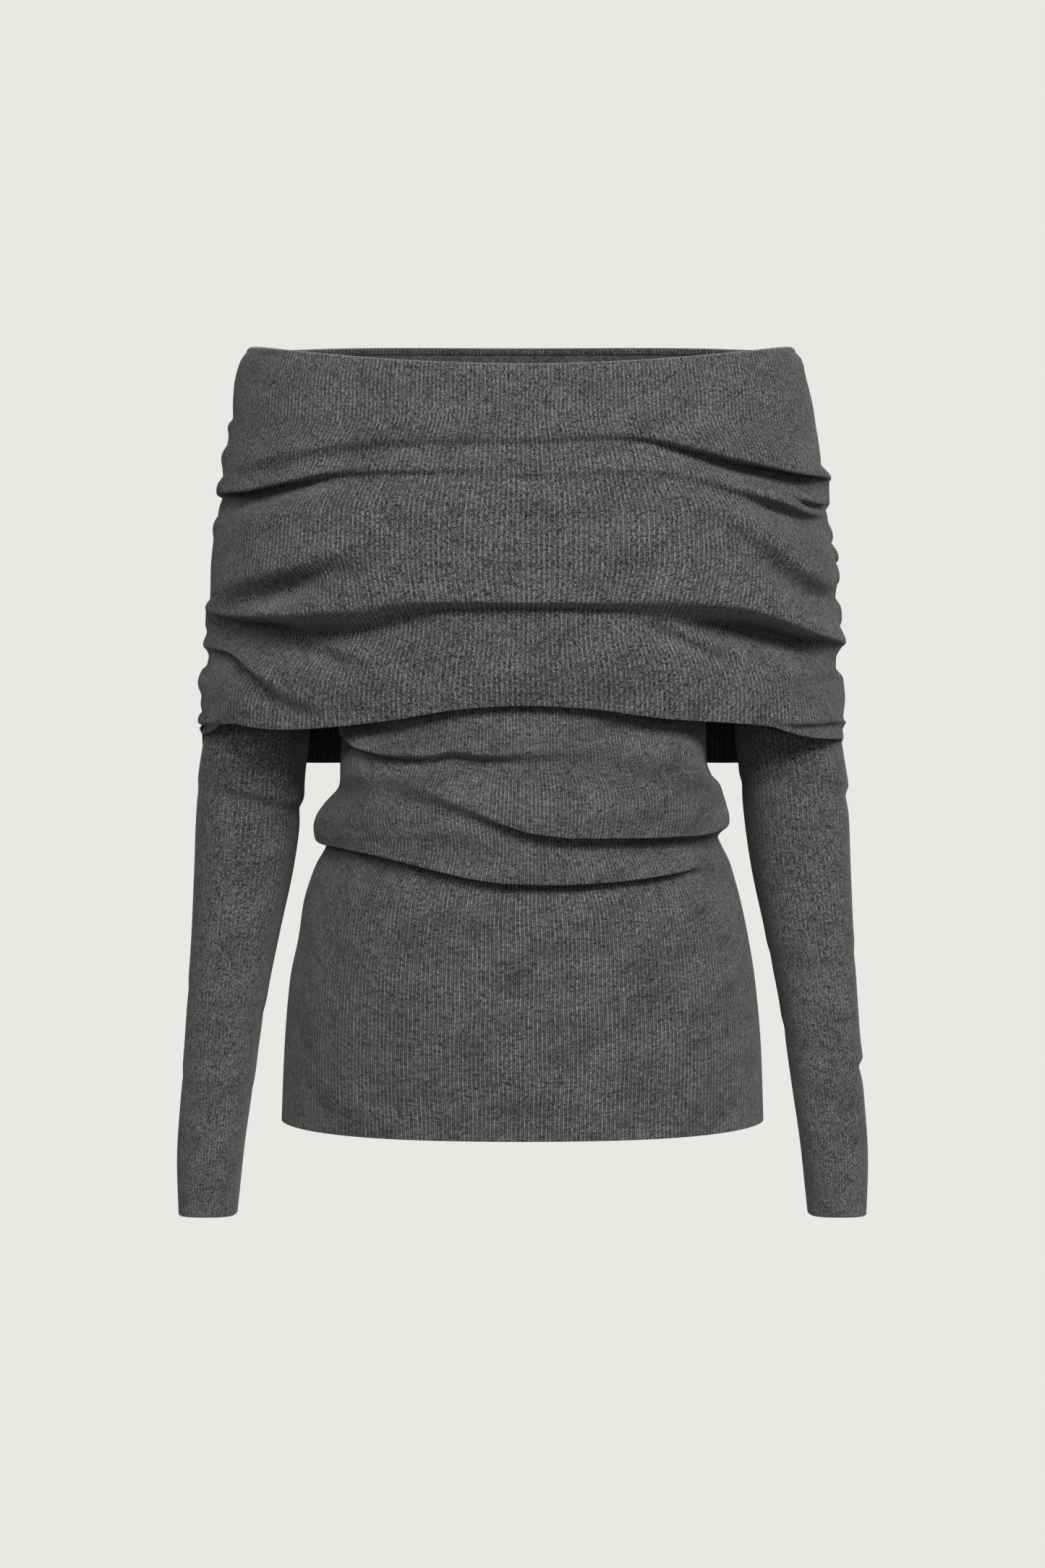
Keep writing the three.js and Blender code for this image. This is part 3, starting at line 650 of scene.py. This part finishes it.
def body_surface(across, along, is_front):
    """The body's outer face: 0 to 1 from the neckline to the armpit, and 1 to 2 from there
    to the hem, whose sides are lifted by the fourth power of the sine of the turn."""
    s = sizes()
    across, along = np.broadcast_arrays(across, along)
    edge = np.where(along < 1, ARMHOLE("angle", along), 90) * math.pi / 180
    reach = edge - s.seam / 2 / TORSO("back", s.armpit)
    turn = across * reach if is_front else math.pi + across * reach
    share = np.clip(along - 1, 0, 1)
    down = mix(s.armpit, s.hem - s.hem_lift * np.sin(turn) ** 4, share)
    press = folded(BODY_CREASES[is_front], np.sin(turn), down, HALF_BODY)
    press[2] += BODY_LEAN("out", down) * np.sin(2 * turn) + wavering(turn, down)
    press *= smooth((down - s.armpit) / BODY_FADE)
    lower = on_ring(TORSO, down, turn, press)
    upper = yoke(turn, np.clip(along, 0, 1))
    return np.where((along < 1)[..., None], upper, lower)


def fold_rows(creases, sides, fine, downs, count):
    """Rows of a panel for each of its columns: up to about three times as close together
    where a crease runs, by its depth and a bell round its line. "fine" are many places
    along, and "downs" how deep they lie in each column."""
    rows = []
    for side, down in zip(sides, downs):
        crowd = np.ones_like(fine)
        for crease in creases:
            line = crease.line
            depth = np.minimum(line("depth", side), CROWD_DEPTH)
            crowd += CROWD * depth * bump(down - line("down", side), CROWD_REACH)
        passed = np.cumsum(crowd)
        rows.append(np.interp(np.linspace(passed[0], passed[-1], count), passed, fine))
    return np.array(rows)


def body_rows(across, start, end, count, is_front):
    """The body's rows between two places along."""
    s = sizes()
    sides = np.sin(across * math.pi / 2) * (1 if is_front else -1)
    fine = np.linspace(start, end, FINE_PLACES)
    downs = mix(s.armpit, s.hem - s.hem_lift * sides[:, None] ** 4, fine - 1)
    return fold_rows(BODY_CREASES[is_front], sides, fine, downs, count)


def collar_rows(turns, count, is_front):
    """The rows of the collar's hanging cloth."""
    sides = np.sin(turns)
    fine = np.linspace(0, 1, FINE_PLACES)
    edge = COLLAR_EDGES[is_front]("down", sides)[:, None]
    downs = mix(neckline(turns)[:, None] + sizes().roll, edge, fine)
    return fold_rows(COLLAR_CREASES[is_front], sides, fine, downs, count)


def sleeve_surface(around, along, side):
    """A sleeve's outer face, from the seam under the arm round the front, the outside and
    the back: squared ellipses about the arm's centre from 1 to 2, and from 0 to 1 arcs
    that open to the body's armhole edges and blend into the neckline's ring."""
    s = sizes()
    around, along = np.broadcast_arrays(around, along)
    share = np.clip(along, 0, 1)
    down = mix(s.armpit, s.cuff, np.clip(along - 1, 0, 1))

    def arm(at, down, inset, opening):
        angle = mix(math.pi + opening, 3 * math.pi - opening, at)
        fuller = 1 + ARM_FULL * np.cos(angle) ** 2 + ARM_SQUARE * np.cos(angle) ** 8
        x = ARM("across", down) + (ARM("width", down) - inset) * np.cos(angle)
        y = ARM("back", down) + (ARM("depth", down) - inset) * np.sin(angle) * fuller
        return np.stack([side * x, y], -1)

    seam = s.seam / 2 / ARM("width", down)
    creases = SLEEVE_RIGHT_CREASES if side > 0 else SLEEVE_LEFT_CREASES
    inward, drop, _ = folded(creases, 2 * around - 1, down, HALF_SLEEVE)
    tube = raised(arm(around, down, inward, seam), down + drop)

    gaps = SLEEVE_GAPS * s.seam / TORSO("back", s.armpit)
    edge = ARMHOLE("angle", share) * math.pi / 180 + gaps
    spread = math.radians(s.arm_opens) * (1 - share) ** SLEEVE_POWER
    opening = s.seam / 2 / ARM("width", s.armpit) + spread
    pit = np.full_like(down, s.armpit)

    def blend(at):
        shell = yoke(side * mix(edge, math.pi - edge, at), share)
        level = mix(arm(at, pit, 0, opening), shell[..., :2], smooth(1 - share)[..., None])
        return np.concatenate([level, shell[..., 2:]], -1)

    front = smooth(1 - around / SLEEVE_JOIN)[..., None]
    back = smooth(1 - (1 - around) / SLEEVE_JOIN)[..., None]
    none, whole = np.zeros_like(around), np.ones_like(around)
    shoulder = blend(around)
    shoulder = shoulder + front * (yoke(side * edge, share) - blend(none))
    shoulder = shoulder + back * (yoke(side * (math.pi - edge), share) - blend(whole))
    return np.where((along < 1)[..., None], shoulder, tube)


def even_turns(section, down, middle, reach, rib):
    """Turns of a ring spaced evenly along its length, three to each rib."""
    fine = np.linspace(middle - reach, middle + reach, 2001)
    level = ring(section, np.full_like(fine, down), fine)
    length = np.concatenate([[0], np.cumsum(np.linalg.norm(np.diff(level, axis=0), axis=1))])
    ribs = round(length[-1] / rib)
    return np.interp(np.linspace(0, length[-1], 3 * ribs + 1), length, fine)


def fan(fine, coarse, step, flip):
    """Faces that join a finely cut edge to a coarsely cut one, step fine spans to each
    coarse span."""
    spans = np.arange(len(coarse) - 1)
    picks = spans[:, None] * step + np.arange(step + 1)
    faces = np.concatenate([fine[picks], coarse[spans + 1][:, None], coarse[spans][:, None]], 1)
    return faces[:, ::-1] if flip else faces


def room_inside(points, normal, wall):
    """The wall at each point: thinner than the whole one inside a sharp fold, where the
    inner face could come through the outer one. It is at most half the fold's radius, which
    is how far the points move over how far the normals turn, and takes the least value
    near it. This makes such crossings fewer and doesn't end them all."""
    room = np.full(points.shape[:2], wall)
    for axis in (0, 1):
        step = np.gradient(points, axis=axis)
        turn = np.gradient(normal, axis=axis)
        bend = (step * turn).sum(-1) / np.maximum((step**2).sum(-1), 1e-6)
        room = np.minimum(room, 0.5 / np.maximum(bend, 0.5 / wall))
    for axis in (0, 1):
        near = [np.roll(room, shift, axis) for shift in range(-3, 4)]
        room = np.minimum.reduce(near)
    return room[..., None]


def cloth_mesh(name, points, ribbed, rib):
    """A closed sheet over a grid of outer points, columns by rows.

    Ribs stand out along the surface's normal by a cosine, three columns to a rib. The
    inner face lies one wall inside on every few columns and rows. The last row's edge is
    rounded by a half circle, and fans of faces close the rims. The UV map is the cloth's
    own place, in metres across the ribs and down them, and across is below 0 inside.
    """
    s = sizes()
    normal = unit(np.cross(np.gradient(points, axis=1), np.gradient(points, axis=0)))
    columns, rows = points.shape[:2]
    ridge = s.rib_height * np.cos(np.arange(columns) * 2 * math.pi / 3) if ribbed else 0
    ridge = np.broadcast_to(ridge, columns)
    outer = points + normal * ridge[:, None, None]
    half = s.wall / 2
    down = unit(points[:, -1] - points[:, -2])
    turns = np.radians([35, 75, 115, 150])
    rim = [
        points[:, -1] + down * half * np.sin(a)
        - normal[:, -1] * (half * (1 - np.cos(a)) - ridge[:, None] * np.cos(a / 2))
        for a in turns
    ]
    outer = np.concatenate([outer, np.stack(rim, 1)], 1)
    rims = len(turns)
    wall = room_inside(points, normal, s.wall)
    inner = (points - normal * wall)[::INNER_COLUMNS, ::INNER_ROWS]

    lengths = np.linalg.norm(np.diff(points, axis=1), axis=-1)
    fall = np.concatenate([np.zeros((columns, 1)), np.cumsum(lengths, 1)], 1)
    width = np.arange(columns) * rib / 3
    edge_fall = fall[:, -1:] + half * turns
    fall_outer = np.concatenate([fall, edge_fall], 1)
    across_outer = np.broadcast_to(width[:, None], fall_outer.shape)
    fall_inner = fall[::INNER_COLUMNS, ::INNER_ROWS]
    across_inner = np.broadcast_to(-width[::INNER_COLUMNS, None] - rib, fall_inner.shape)

    places = np.concatenate([outer.reshape(-1, 3), inner.reshape(-1, 3)]) * MM
    across_all = np.concatenate([across_outer.ravel(), across_inner.ravel()])
    fall_all = np.concatenate([fall_outer.ravel(), fall_inner.ravel()])
    flat = np.stack([across_all, fall_all], -1) * MM

    a = np.arange(columns * (rows + rims)).reshape(columns, rows + rims)
    b = a.size + np.arange(inner.shape[0] * inner.shape[1]).reshape(inner.shape[:2])

    def quads(grid):
        corners = [grid[:-1, :-1], grid[:-1, 1:], grid[1:, 1:], grid[1:, :-1]]
        return np.stack(corners, -1).reshape(-1, 4)

    cap = np.arange(rows - 1, rows + rims)
    groups = [
        quads(a),
        quads(b)[:, ::-1],
        fan(a[:, 0], b[:, 0], INNER_COLUMNS, False),
        fan(a[:, -1], b[:, -1], INNER_COLUMNS, True),
        fan(a[0, :rows], b[0], INNER_ROWS, True),
        fan(a[-1, :rows], b[-1], INNER_ROWS, False),
        np.concatenate([a[0, cap[::-1]], b[0, -1:]])[None],
        np.concatenate([a[-1, cap], b[-1, -1:]])[None],
    ]
    loops = np.concatenate([g.ravel() for g in groups])
    totals = np.concatenate([np.full(len(g), g.shape[1]) for g in groups])
    starts = np.concatenate([[0], np.cumsum(totals)[:-1]])

    mesh = bpy.data.meshes.new(name)
    mesh.vertices.add(len(places))
    mesh.vertices.foreach_set("co", places.astype(np.float32).ravel())
    mesh.loops.add(len(loops))
    mesh.loops.foreach_set("vertex_index", loops.astype(np.int32))
    mesh.polygons.add(len(totals))
    mesh.polygons.foreach_set("loop_start", starts.astype(np.int32))
    mesh.polygons.foreach_set("loop_total", totals.astype(np.int32))
    mesh.update(calc_edges=True)
    layer = mesh.uv_layers.new(name="cloth")
    layer.data.foreach_set("uv", flat[loops].astype(np.float32).ravel())
    mesh.shade_smooth()
    mesh.validate()
    made = bpy.data.objects.new(name, mesh)
    bpy.context.collection.objects.link(made)
    width_m = float(np.linalg.norm(np.diff(points, axis=0), axis=-1).sum(0).max()) * MM
    length_m = float(fall[:, -1].max()) * MM
    corner = points[:-1, :-1]
    cells = np.cross(points[1:, :-1] - corner, points[:-1, 1:] - corner)
    area = float(np.linalg.norm(cells, axis=-1).sum()) * MM**2
    return made, (width_m, length_m), min(area, width_m * length_m)


class Value:
    """A shader value that can be added, subtracted, multiplied and divided."""

    def __init__(self, tree, socket=None):
        self.tree = tree
        self.socket = socket

    def node(self, kind, inputs, output=0, **settings):
        """A new node's output: its settings go first, then values or links of its inputs."""
        made = self.tree.nodes.new(kind)
        for name, value in settings.items():
            setattr(made, name, value)
        for key, value in inputs.items():
            if isinstance(value, Value):
                self.tree.links.new(value.socket, made.inputs[key])
            else:
                made.inputs[key].default_value = value
        return Value(self.tree, made.outputs[output]) if made.outputs else None

    def maths(self, operation, *values):
        return self.node("ShaderNodeMath", dict(enumerate(values)), operation=operation)

    def __add__(self, other):
        return self.maths("ADD", self, other)

    def __radd__(self, other):
        return self.maths("ADD", other, self)

    def __sub__(self, other):
        return self.maths("SUBTRACT", self, other)

    def __mul__(self, other):
        return self.maths("MULTIPLY", self, other)

    def __truediv__(self, other):
        return self.maths("DIVIDE", self, other)

    def wave(self, length):
        """A cosine that repeats after each length."""
        return self.maths("COSINE", self * (2 * math.pi / length))

    def floor(self):
        return self.maths("FLOOR", self)

    def fraction(self):
        return self.maths("FRACT", self)

    def size(self):
        return self.maths("ABSOLUTE", self)

    def between(self, low, high):
        """0 up to low and 1 from high on, straight in between."""
        inputs = {0: self, 1: low, 2: high, 3: 0.0, 4: 1.0}
        return self.node("ShaderNodeMapRange", inputs, clamp=True)

    def speckle(self):
        """A different random value from 0 to 1 for each whole number of the place."""
        return self.node("ShaderNodeTexWhiteNoise", {"Vector": self}, noise_dimensions="2D")

    def join(self, y, z=0.0):
        return self.node("ShaderNodeCombineXYZ", {0: self, 1: y, 2: z})

    def noise(self, detail, roughness=0.5):
        inputs = {"Vector": self, "Scale": 1.0, "Detail": detail, "Roughness": roughness}
        return self.node("ShaderNodeTexNoise", inputs, noise_dimensions="3D")


def fresh_nodes(owner):
    """The start of a new node tree of a material or world."""
    owner.use_nodes = True
    owner.node_tree.nodes.clear()
    return Value(owner.node_tree)


def knit_material(name, rib, row_height, grain, shade=1, turned_in=0):
    """Charcoal marl yarn in a fine rib.

    Painted shade darkens the grooves between the ribs and between the stitches' columns,
    by cosines across the cloth, with painted light on the ribs' crests, and painted shade
    also lies between the stitches' rows. Flecks are noise as fine as the yarn, each stitch
    has a tone of its own, and soft clouds lie over all of it. The stitches themselves are a
    relief of small slanted ridges, "row_height" mm apart. With a grain of 1 the yarn's own
    flecks show most, and with 0 the columns' painted shade does. "shade" is the share of the
    ribs' full painted light and shade. The cloth's inner side has painted shade, and so do
    the first "turned_in" mm of its length, which are turned inwards.
    """
    look = bpy.context.scene.knit_top_colours
    material = bpy.data.materials.new(name)
    start = fresh_nodes(material)
    place = start.node("ShaderNodeUVMap", {}, uv_map="cloth")
    across = start.node("ShaderNodeSeparateXYZ", {0: place}, 0)
    fall = start.node("ShaderNodeSeparateXYZ", {0: place}, 1)

    rib_m = rib * MM
    column_m = rib_m / 2
    row_m = row_height * MM
    crest = across.wave(rib_m)
    column = across.wave(column_m)
    column_number = (across / column_m + 0.5).floor()
    lean = ((across / column_m + 0.5).fraction() - 0.5).size() * SLANT
    row = fall / row_m + lean
    wander = (across / WANDER_CELL[0]).join(fall / WANDER_CELL[1], 6.0)
    uneven = wander.noise(2.0, 0.7) * 6.0
    stitch = (row + uneven).wave(1)
    row_number = (row + 0.5).floor()

    each = column_number.join(row_number).speckle() - 0.5
    thread = (column_number * 0.23).join(row_number * 0.9, 5.0).noise(2.0, 0.6) - 0.5
    fleck = (across / FLECK_CELL[0]).join(fall / FLECK_CELL[1], 1.0).noise(2.0, 0.65) - 0.5
    speck_row = (fall / SPECK_CELL[1] + lean * 0.7).floor()
    speck = (across / SPECK_CELL[0]).floor().join(speck_row, 4.0).speckle() - 0.5
    streak = (column_number * 3.17).join(fall / STREAK_LENGTH, 2.0).noise(1.0) - 0.5
    cloud = (across / CLOUD_CELL[0]).join(fall / CLOUD_CELL[1], 3.0).noise(3.0, 0.6) - 0.5

    def shaded(contrast, **patterns):
        """1 and each pattern by its weight."""
        total = 1.0
        for name, pattern in patterns.items():
            total = total + pattern * (contrast * mix(*WEIGHTS[name], grain))
        return total

    marl = shaded(look.fleck, each=each, thread=thread, fleck=fleck, speck=speck)
    patches = shaded(look.cloud, streak=streak, cloud=cloud)
    # Painted shade in the grooves between the stitches' columns and between the ribs, painted
    # light on the ribs' crests, and painted shade between the stitches' rows.
    grooves = shaded(look.groove_shade, column=column)
    grooves = grooves + crest * (look.groove_shade * shade * CREST_SHADE_WEIGHT) + stitch * STITCH_SHADE_WEIGHT
    # Painted shade on the inner side, where across is below 0, and on the collar's turned-in
    # length, where little light reaches.
    shown = across.between(-0.0005, 0.0)
    if turned_in:
        shown = shown * fall.between(turned_in * 0.7 * MM, turned_in * 1.3 * MM)
    light = marl * patches * grooves * (look.inside + shown * (1 - look.inside))
    light = light.maths("MAXIMUM", light, DARKEST)
    yarn = tuple(look.yarn)
    scaled = {0: yarn, "Scale": light}
    colour = start.node("ShaderNodeVectorMath", scaled, operation="SCALE")
    relief = crest * 0.4 + column * 0.2 + stitch * 0.2 + fleck * 0.4 + each * 0.2
    stands_out = {"Strength": 0.8, "Distance": STITCH_RELIEF, "Height": relief}
    bumped = start.node("ShaderNodeBump", stands_out)
    shader = start.node("ShaderNodeBsdfPrincipled", {
        "Base Color": colour,
        "Normal": bumped,
        "Roughness": look.roughness,
        "Specular IOR Level": 0.2,
        "Sheen Weight": 0.25,
        "Sheen Roughness": 0.55,
        "Sheen Tint": (0.9, 0.9, 0.9, 1.0),
    })
    start.node("ShaderNodeOutputMaterial", {"Surface": shader})
    material.diffuse_color = yarn + (1.0,)
    return material


def in_scene(name, data):
    """A new object in the scene."""
    made = bpy.data.objects.new(name, data)
    bpy.context.scene.collection.objects.link(made)
    return made


def put_on_frame(node, points, ribbed, rib, material):
    """A sheet that rides the frame and stands for its plain solid."""
    made, flat, area = cloth_mesh(node + "_knit", points, ribbed, rib)
    made.data.materials.append(material)
    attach(made, "root")
    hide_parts(node)


class KNITTOP_OT_body(bpy.types.Operator):
    """Builds the front and back of the body, from the neckline to the hem"""

    bl_idname = "knittop.body"
    bl_label = "Body front and back"

    def execute(self, context):
        s = sizes()
        material = knit_material("body_knit", s.body_rib, s.body_row, 0)
        waist = 1 + (WAIST_TOP - s.armpit) / (s.hem - s.armpit)
        hips = 1 + (WAIST_END - s.armpit) / (s.hem - s.armpit)
        for node, is_front, rows in (("body_front", True, 106), ("body_back", False, 92)):
            middle = 0 if is_front else math.pi
            reach = math.pi / 2
            turns = even_turns(TORSO, BODY_RIBS, middle, reach, s.body_rib)
            across = (turns - middle) / reach
            above = np.concatenate([
                np.linspace(0, 1, 12, endpoint=False),
                np.linspace(1, waist, 14, endpoint=False),
            ])
            below = np.linspace(hips, 2, 39)
            columns = (len(across), 1)
            along = np.concatenate([
                np.tile(above, columns),
                body_rows(across, waist, hips, rows + 1, is_front)[:, :-1],
                np.tile(below, columns),
            ], 1)
            points = body_surface(across[:, None], along, is_front)
            put_on_frame(node, points, True, s.body_rib, material)
        return {"FINISHED"}


class KNITTOP_OT_collar(bpy.types.Operator):
    """Builds the front and back of the fold-over collar"""

    bl_idname = "knittop.collar"
    bl_label = "Fold-over collar"

    def execute(self, context):
        s = sizes()
        material = knit_material(
            "collar_knit", s.collar_rib, s.collar_row, 1, 1, s.collar_leg + 1.5 * s.roll
        )
        for node, is_front, rows in (("collar_front", True, 135), ("collar_back", False, 131)):
            middle = 0 if is_front else math.pi
            reach = math.pi / 2 - s.seam / 2 / SIDE_RADIUS
            turns = even_turns(COLLAR, COLLAR_RIBS, middle, reach, s.collar_rib)
            fold = np.concatenate([[-2, -1.5], np.linspace(-1, 0, 8, endpoint=False)])
            hanging = collar_rows(turns, rows, is_front)
            along = np.concatenate([np.tile(fold, (len(turns), 1)), hanging], 1)
            points = collar_surface(turns[:, None], along, is_front)
            put_on_frame(node, points, True, s.collar_rib, material)
        return {"FINISHED"}


class KNITTOP_OT_sleeves(bpy.types.Operator):
    """Builds the two sleeves, from the neckline to the cuffs"""

    bl_idname = "knittop.sleeves"
    bl_label = "Sleeves"

    def execute(self, context):
        s = sizes()
        material = knit_material("sleeve_knit", s.body_rib, s.body_row, 0.7, 0.55)
        shown = 1 + (SLEEVE_SHOWN - s.armpit) / (s.cuff - s.armpit)
        around = np.linspace(0, 1, 199)
        along = np.concatenate([
            np.linspace(0, 1, 14, endpoint=False),
            np.linspace(1, shown, 20, endpoint=False),
            np.linspace(shown, 2, 175),
        ])
        for node, side in (("sleeve_right", 1), ("sleeve_left", -1)):
            order = around if side > 0 else around[::-1]
            points = sleeve_surface(order[:, None], along[None], side)
            put_on_frame(node, points, False, s.body_rib, material)
        return {"FINISHED"}


class KNITTOP_OT_stage(bpy.types.Operator):
    """Sets the camera, the pale backdrop and floor, and the soft studio lights"""

    bl_idname = "knittop.stage"
    bl_label = "Camera, backdrop, floor and lights"

    def execute(self, context):
        stage = context.scene.knit_top_stage
        scene = context.scene
        camera = in_scene("camera", bpy.data.cameras.new("camera"))
        camera.location = (0, -stage.distance, stage.height)
        camera.rotation_euler = (math.pi / 2, 0, 0)
        camera.data.sensor_fit = "VERTICAL"
        camera.data.sensor_height = SENSOR
        camera.data.sensor_width = SENSOR
        camera.data.lens = SENSOR * stage.distance / stage.picture
        camera.data.shift_y = stage.shift
        camera.data.clip_end = 50
        scene.camera = camera
        camera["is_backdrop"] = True

        lamps = (
            ("key", stage.key, (1.5, -4.75, 3.1), (5.5, 1.6)),
            ("front", stage.front, (0.3, -4.2, -0.1), (2.5, 1.2)),
            ("fill_left", stage.fill_left, (-2.8, -2.8, 1.6), (1.4, 1.4)),
            ("fill_right", stage.fill_right, (2.8, -2.8, 1.6), (1.4, 1.4)),
            ("rear", stage.rear, (0.2, 1.6, 1.7), (1.1, 0.8)),
        )
        for name, power, place, size in lamps:
            lamp = bpy.data.lights.new(name, "AREA")
            lamp.shape = "RECTANGLE"
            lamp.size, lamp.size_y = size
            lamp.energy = power
            made = in_scene(name, lamp)
            made.location = place
            aim = np.array(AIM) - np.array(place)
            flat = math.hypot(aim[0], aim[1])
            made.rotation_euler = (math.atan2(flat, -aim[2]), 0, math.atan2(-aim[0], aim[1]))
            made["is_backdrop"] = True

        side = stage.floor_size / 2
        corners = [(-side, -side), (side, -side), (side, side), (-side, side)]
        floor_mesh = bpy.data.meshes.new("floor")
        floor_mesh.from_pydata([(x, y, -stage.floor_drop) for x, y in corners], [], [(0, 1, 2, 3)])
        floor = in_scene("floor", floor_mesh)
        paint = bpy.data.materials.new("floor_paint")
        start = fresh_nodes(paint)
        backdrop = tuple(stage.backdrop) + (1.0,)
        matt = {"Base Color": backdrop, "Roughness": 0.9}
        shader = start.node("ShaderNodeBsdfPrincipled", matt)
        start.node("ShaderNodeOutputMaterial", {"Surface": shader})
        floor_mesh.materials.append(paint)
        floor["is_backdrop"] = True

        world = bpy.data.worlds.new("studio")
        scene.world = world
        start = fresh_nodes(world)
        seen = start.node("ShaderNodeBackground", {"Color": backdrop, "Strength": 1.0})
        grey = (0.8, 0.8, 0.8, 1.0)
        lit = start.node("ShaderNodeBackground", {"Color": grey, "Strength": stage.ambient})
        straight = start.node("ShaderNodeLightPath", {}, "Is Camera Ray")
        both = start.node("ShaderNodeMixShader", {0: straight, 1: lit, 2: seen})
        start.node("ShaderNodeOutputWorld", {"Surface": both})

        scene.view_settings.view_transform = "Standard"
        scene.view_settings.look = "None"
        return {"FINISHED"}


class KNITTOP_PT_build(bpy.types.Panel):
    """Lists the steps that build the top"""

    bl_idname = "KNITTOP_PT_build"
    bl_label = "Knit top"
    bl_space_type = "VIEW_3D"
    bl_region_type = "UI"
    bl_category = "Knit top"

    def draw(self, context):
        for step in STEPS:
            self.layout.operator(step.bl_idname)
        for group in GROUPS:
            settings = getattr(context.scene, group)
            for name in settings.__annotations__:
                self.layout.prop(settings, name)


GROUPS = {
    "knit_top_sizes": KnitTopSizes,
    "knit_top_colours": KnitTopColours,
    "knit_top_stage": KnitTopStage,
}
STEPS = (KNITTOP_OT_body, KNITTOP_OT_sleeves, KNITTOP_OT_collar, KNITTOP_OT_stage)
CLASSES = tuple(GROUPS.values()) + STEPS + (KNITTOP_PT_build,)


def register():
    for item in CLASSES:
        bpy.utils.register_class(item)
    for name, group in GROUPS.items():
        setattr(bpy.types.Scene, name, PointerProperty(type=group))


def unregister():
    for name in GROUPS:
        delattr(bpy.types.Scene, name)
    for item in reversed(CLASSES):
        bpy.utils.unregister_class(item)


def main():
    register()
    bpy.ops.knittop.body()
    bpy.ops.knittop.sleeves()
    bpy.ops.knittop.collar()
    bpy.ops.knittop.stage()
    boxes = {"cad": CAD_BOX, "visual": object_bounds()}
    boxes = {name: [list(corner) for corner in box] for name, box in boxes.items()}


if __name__ == "__main__":
    main()
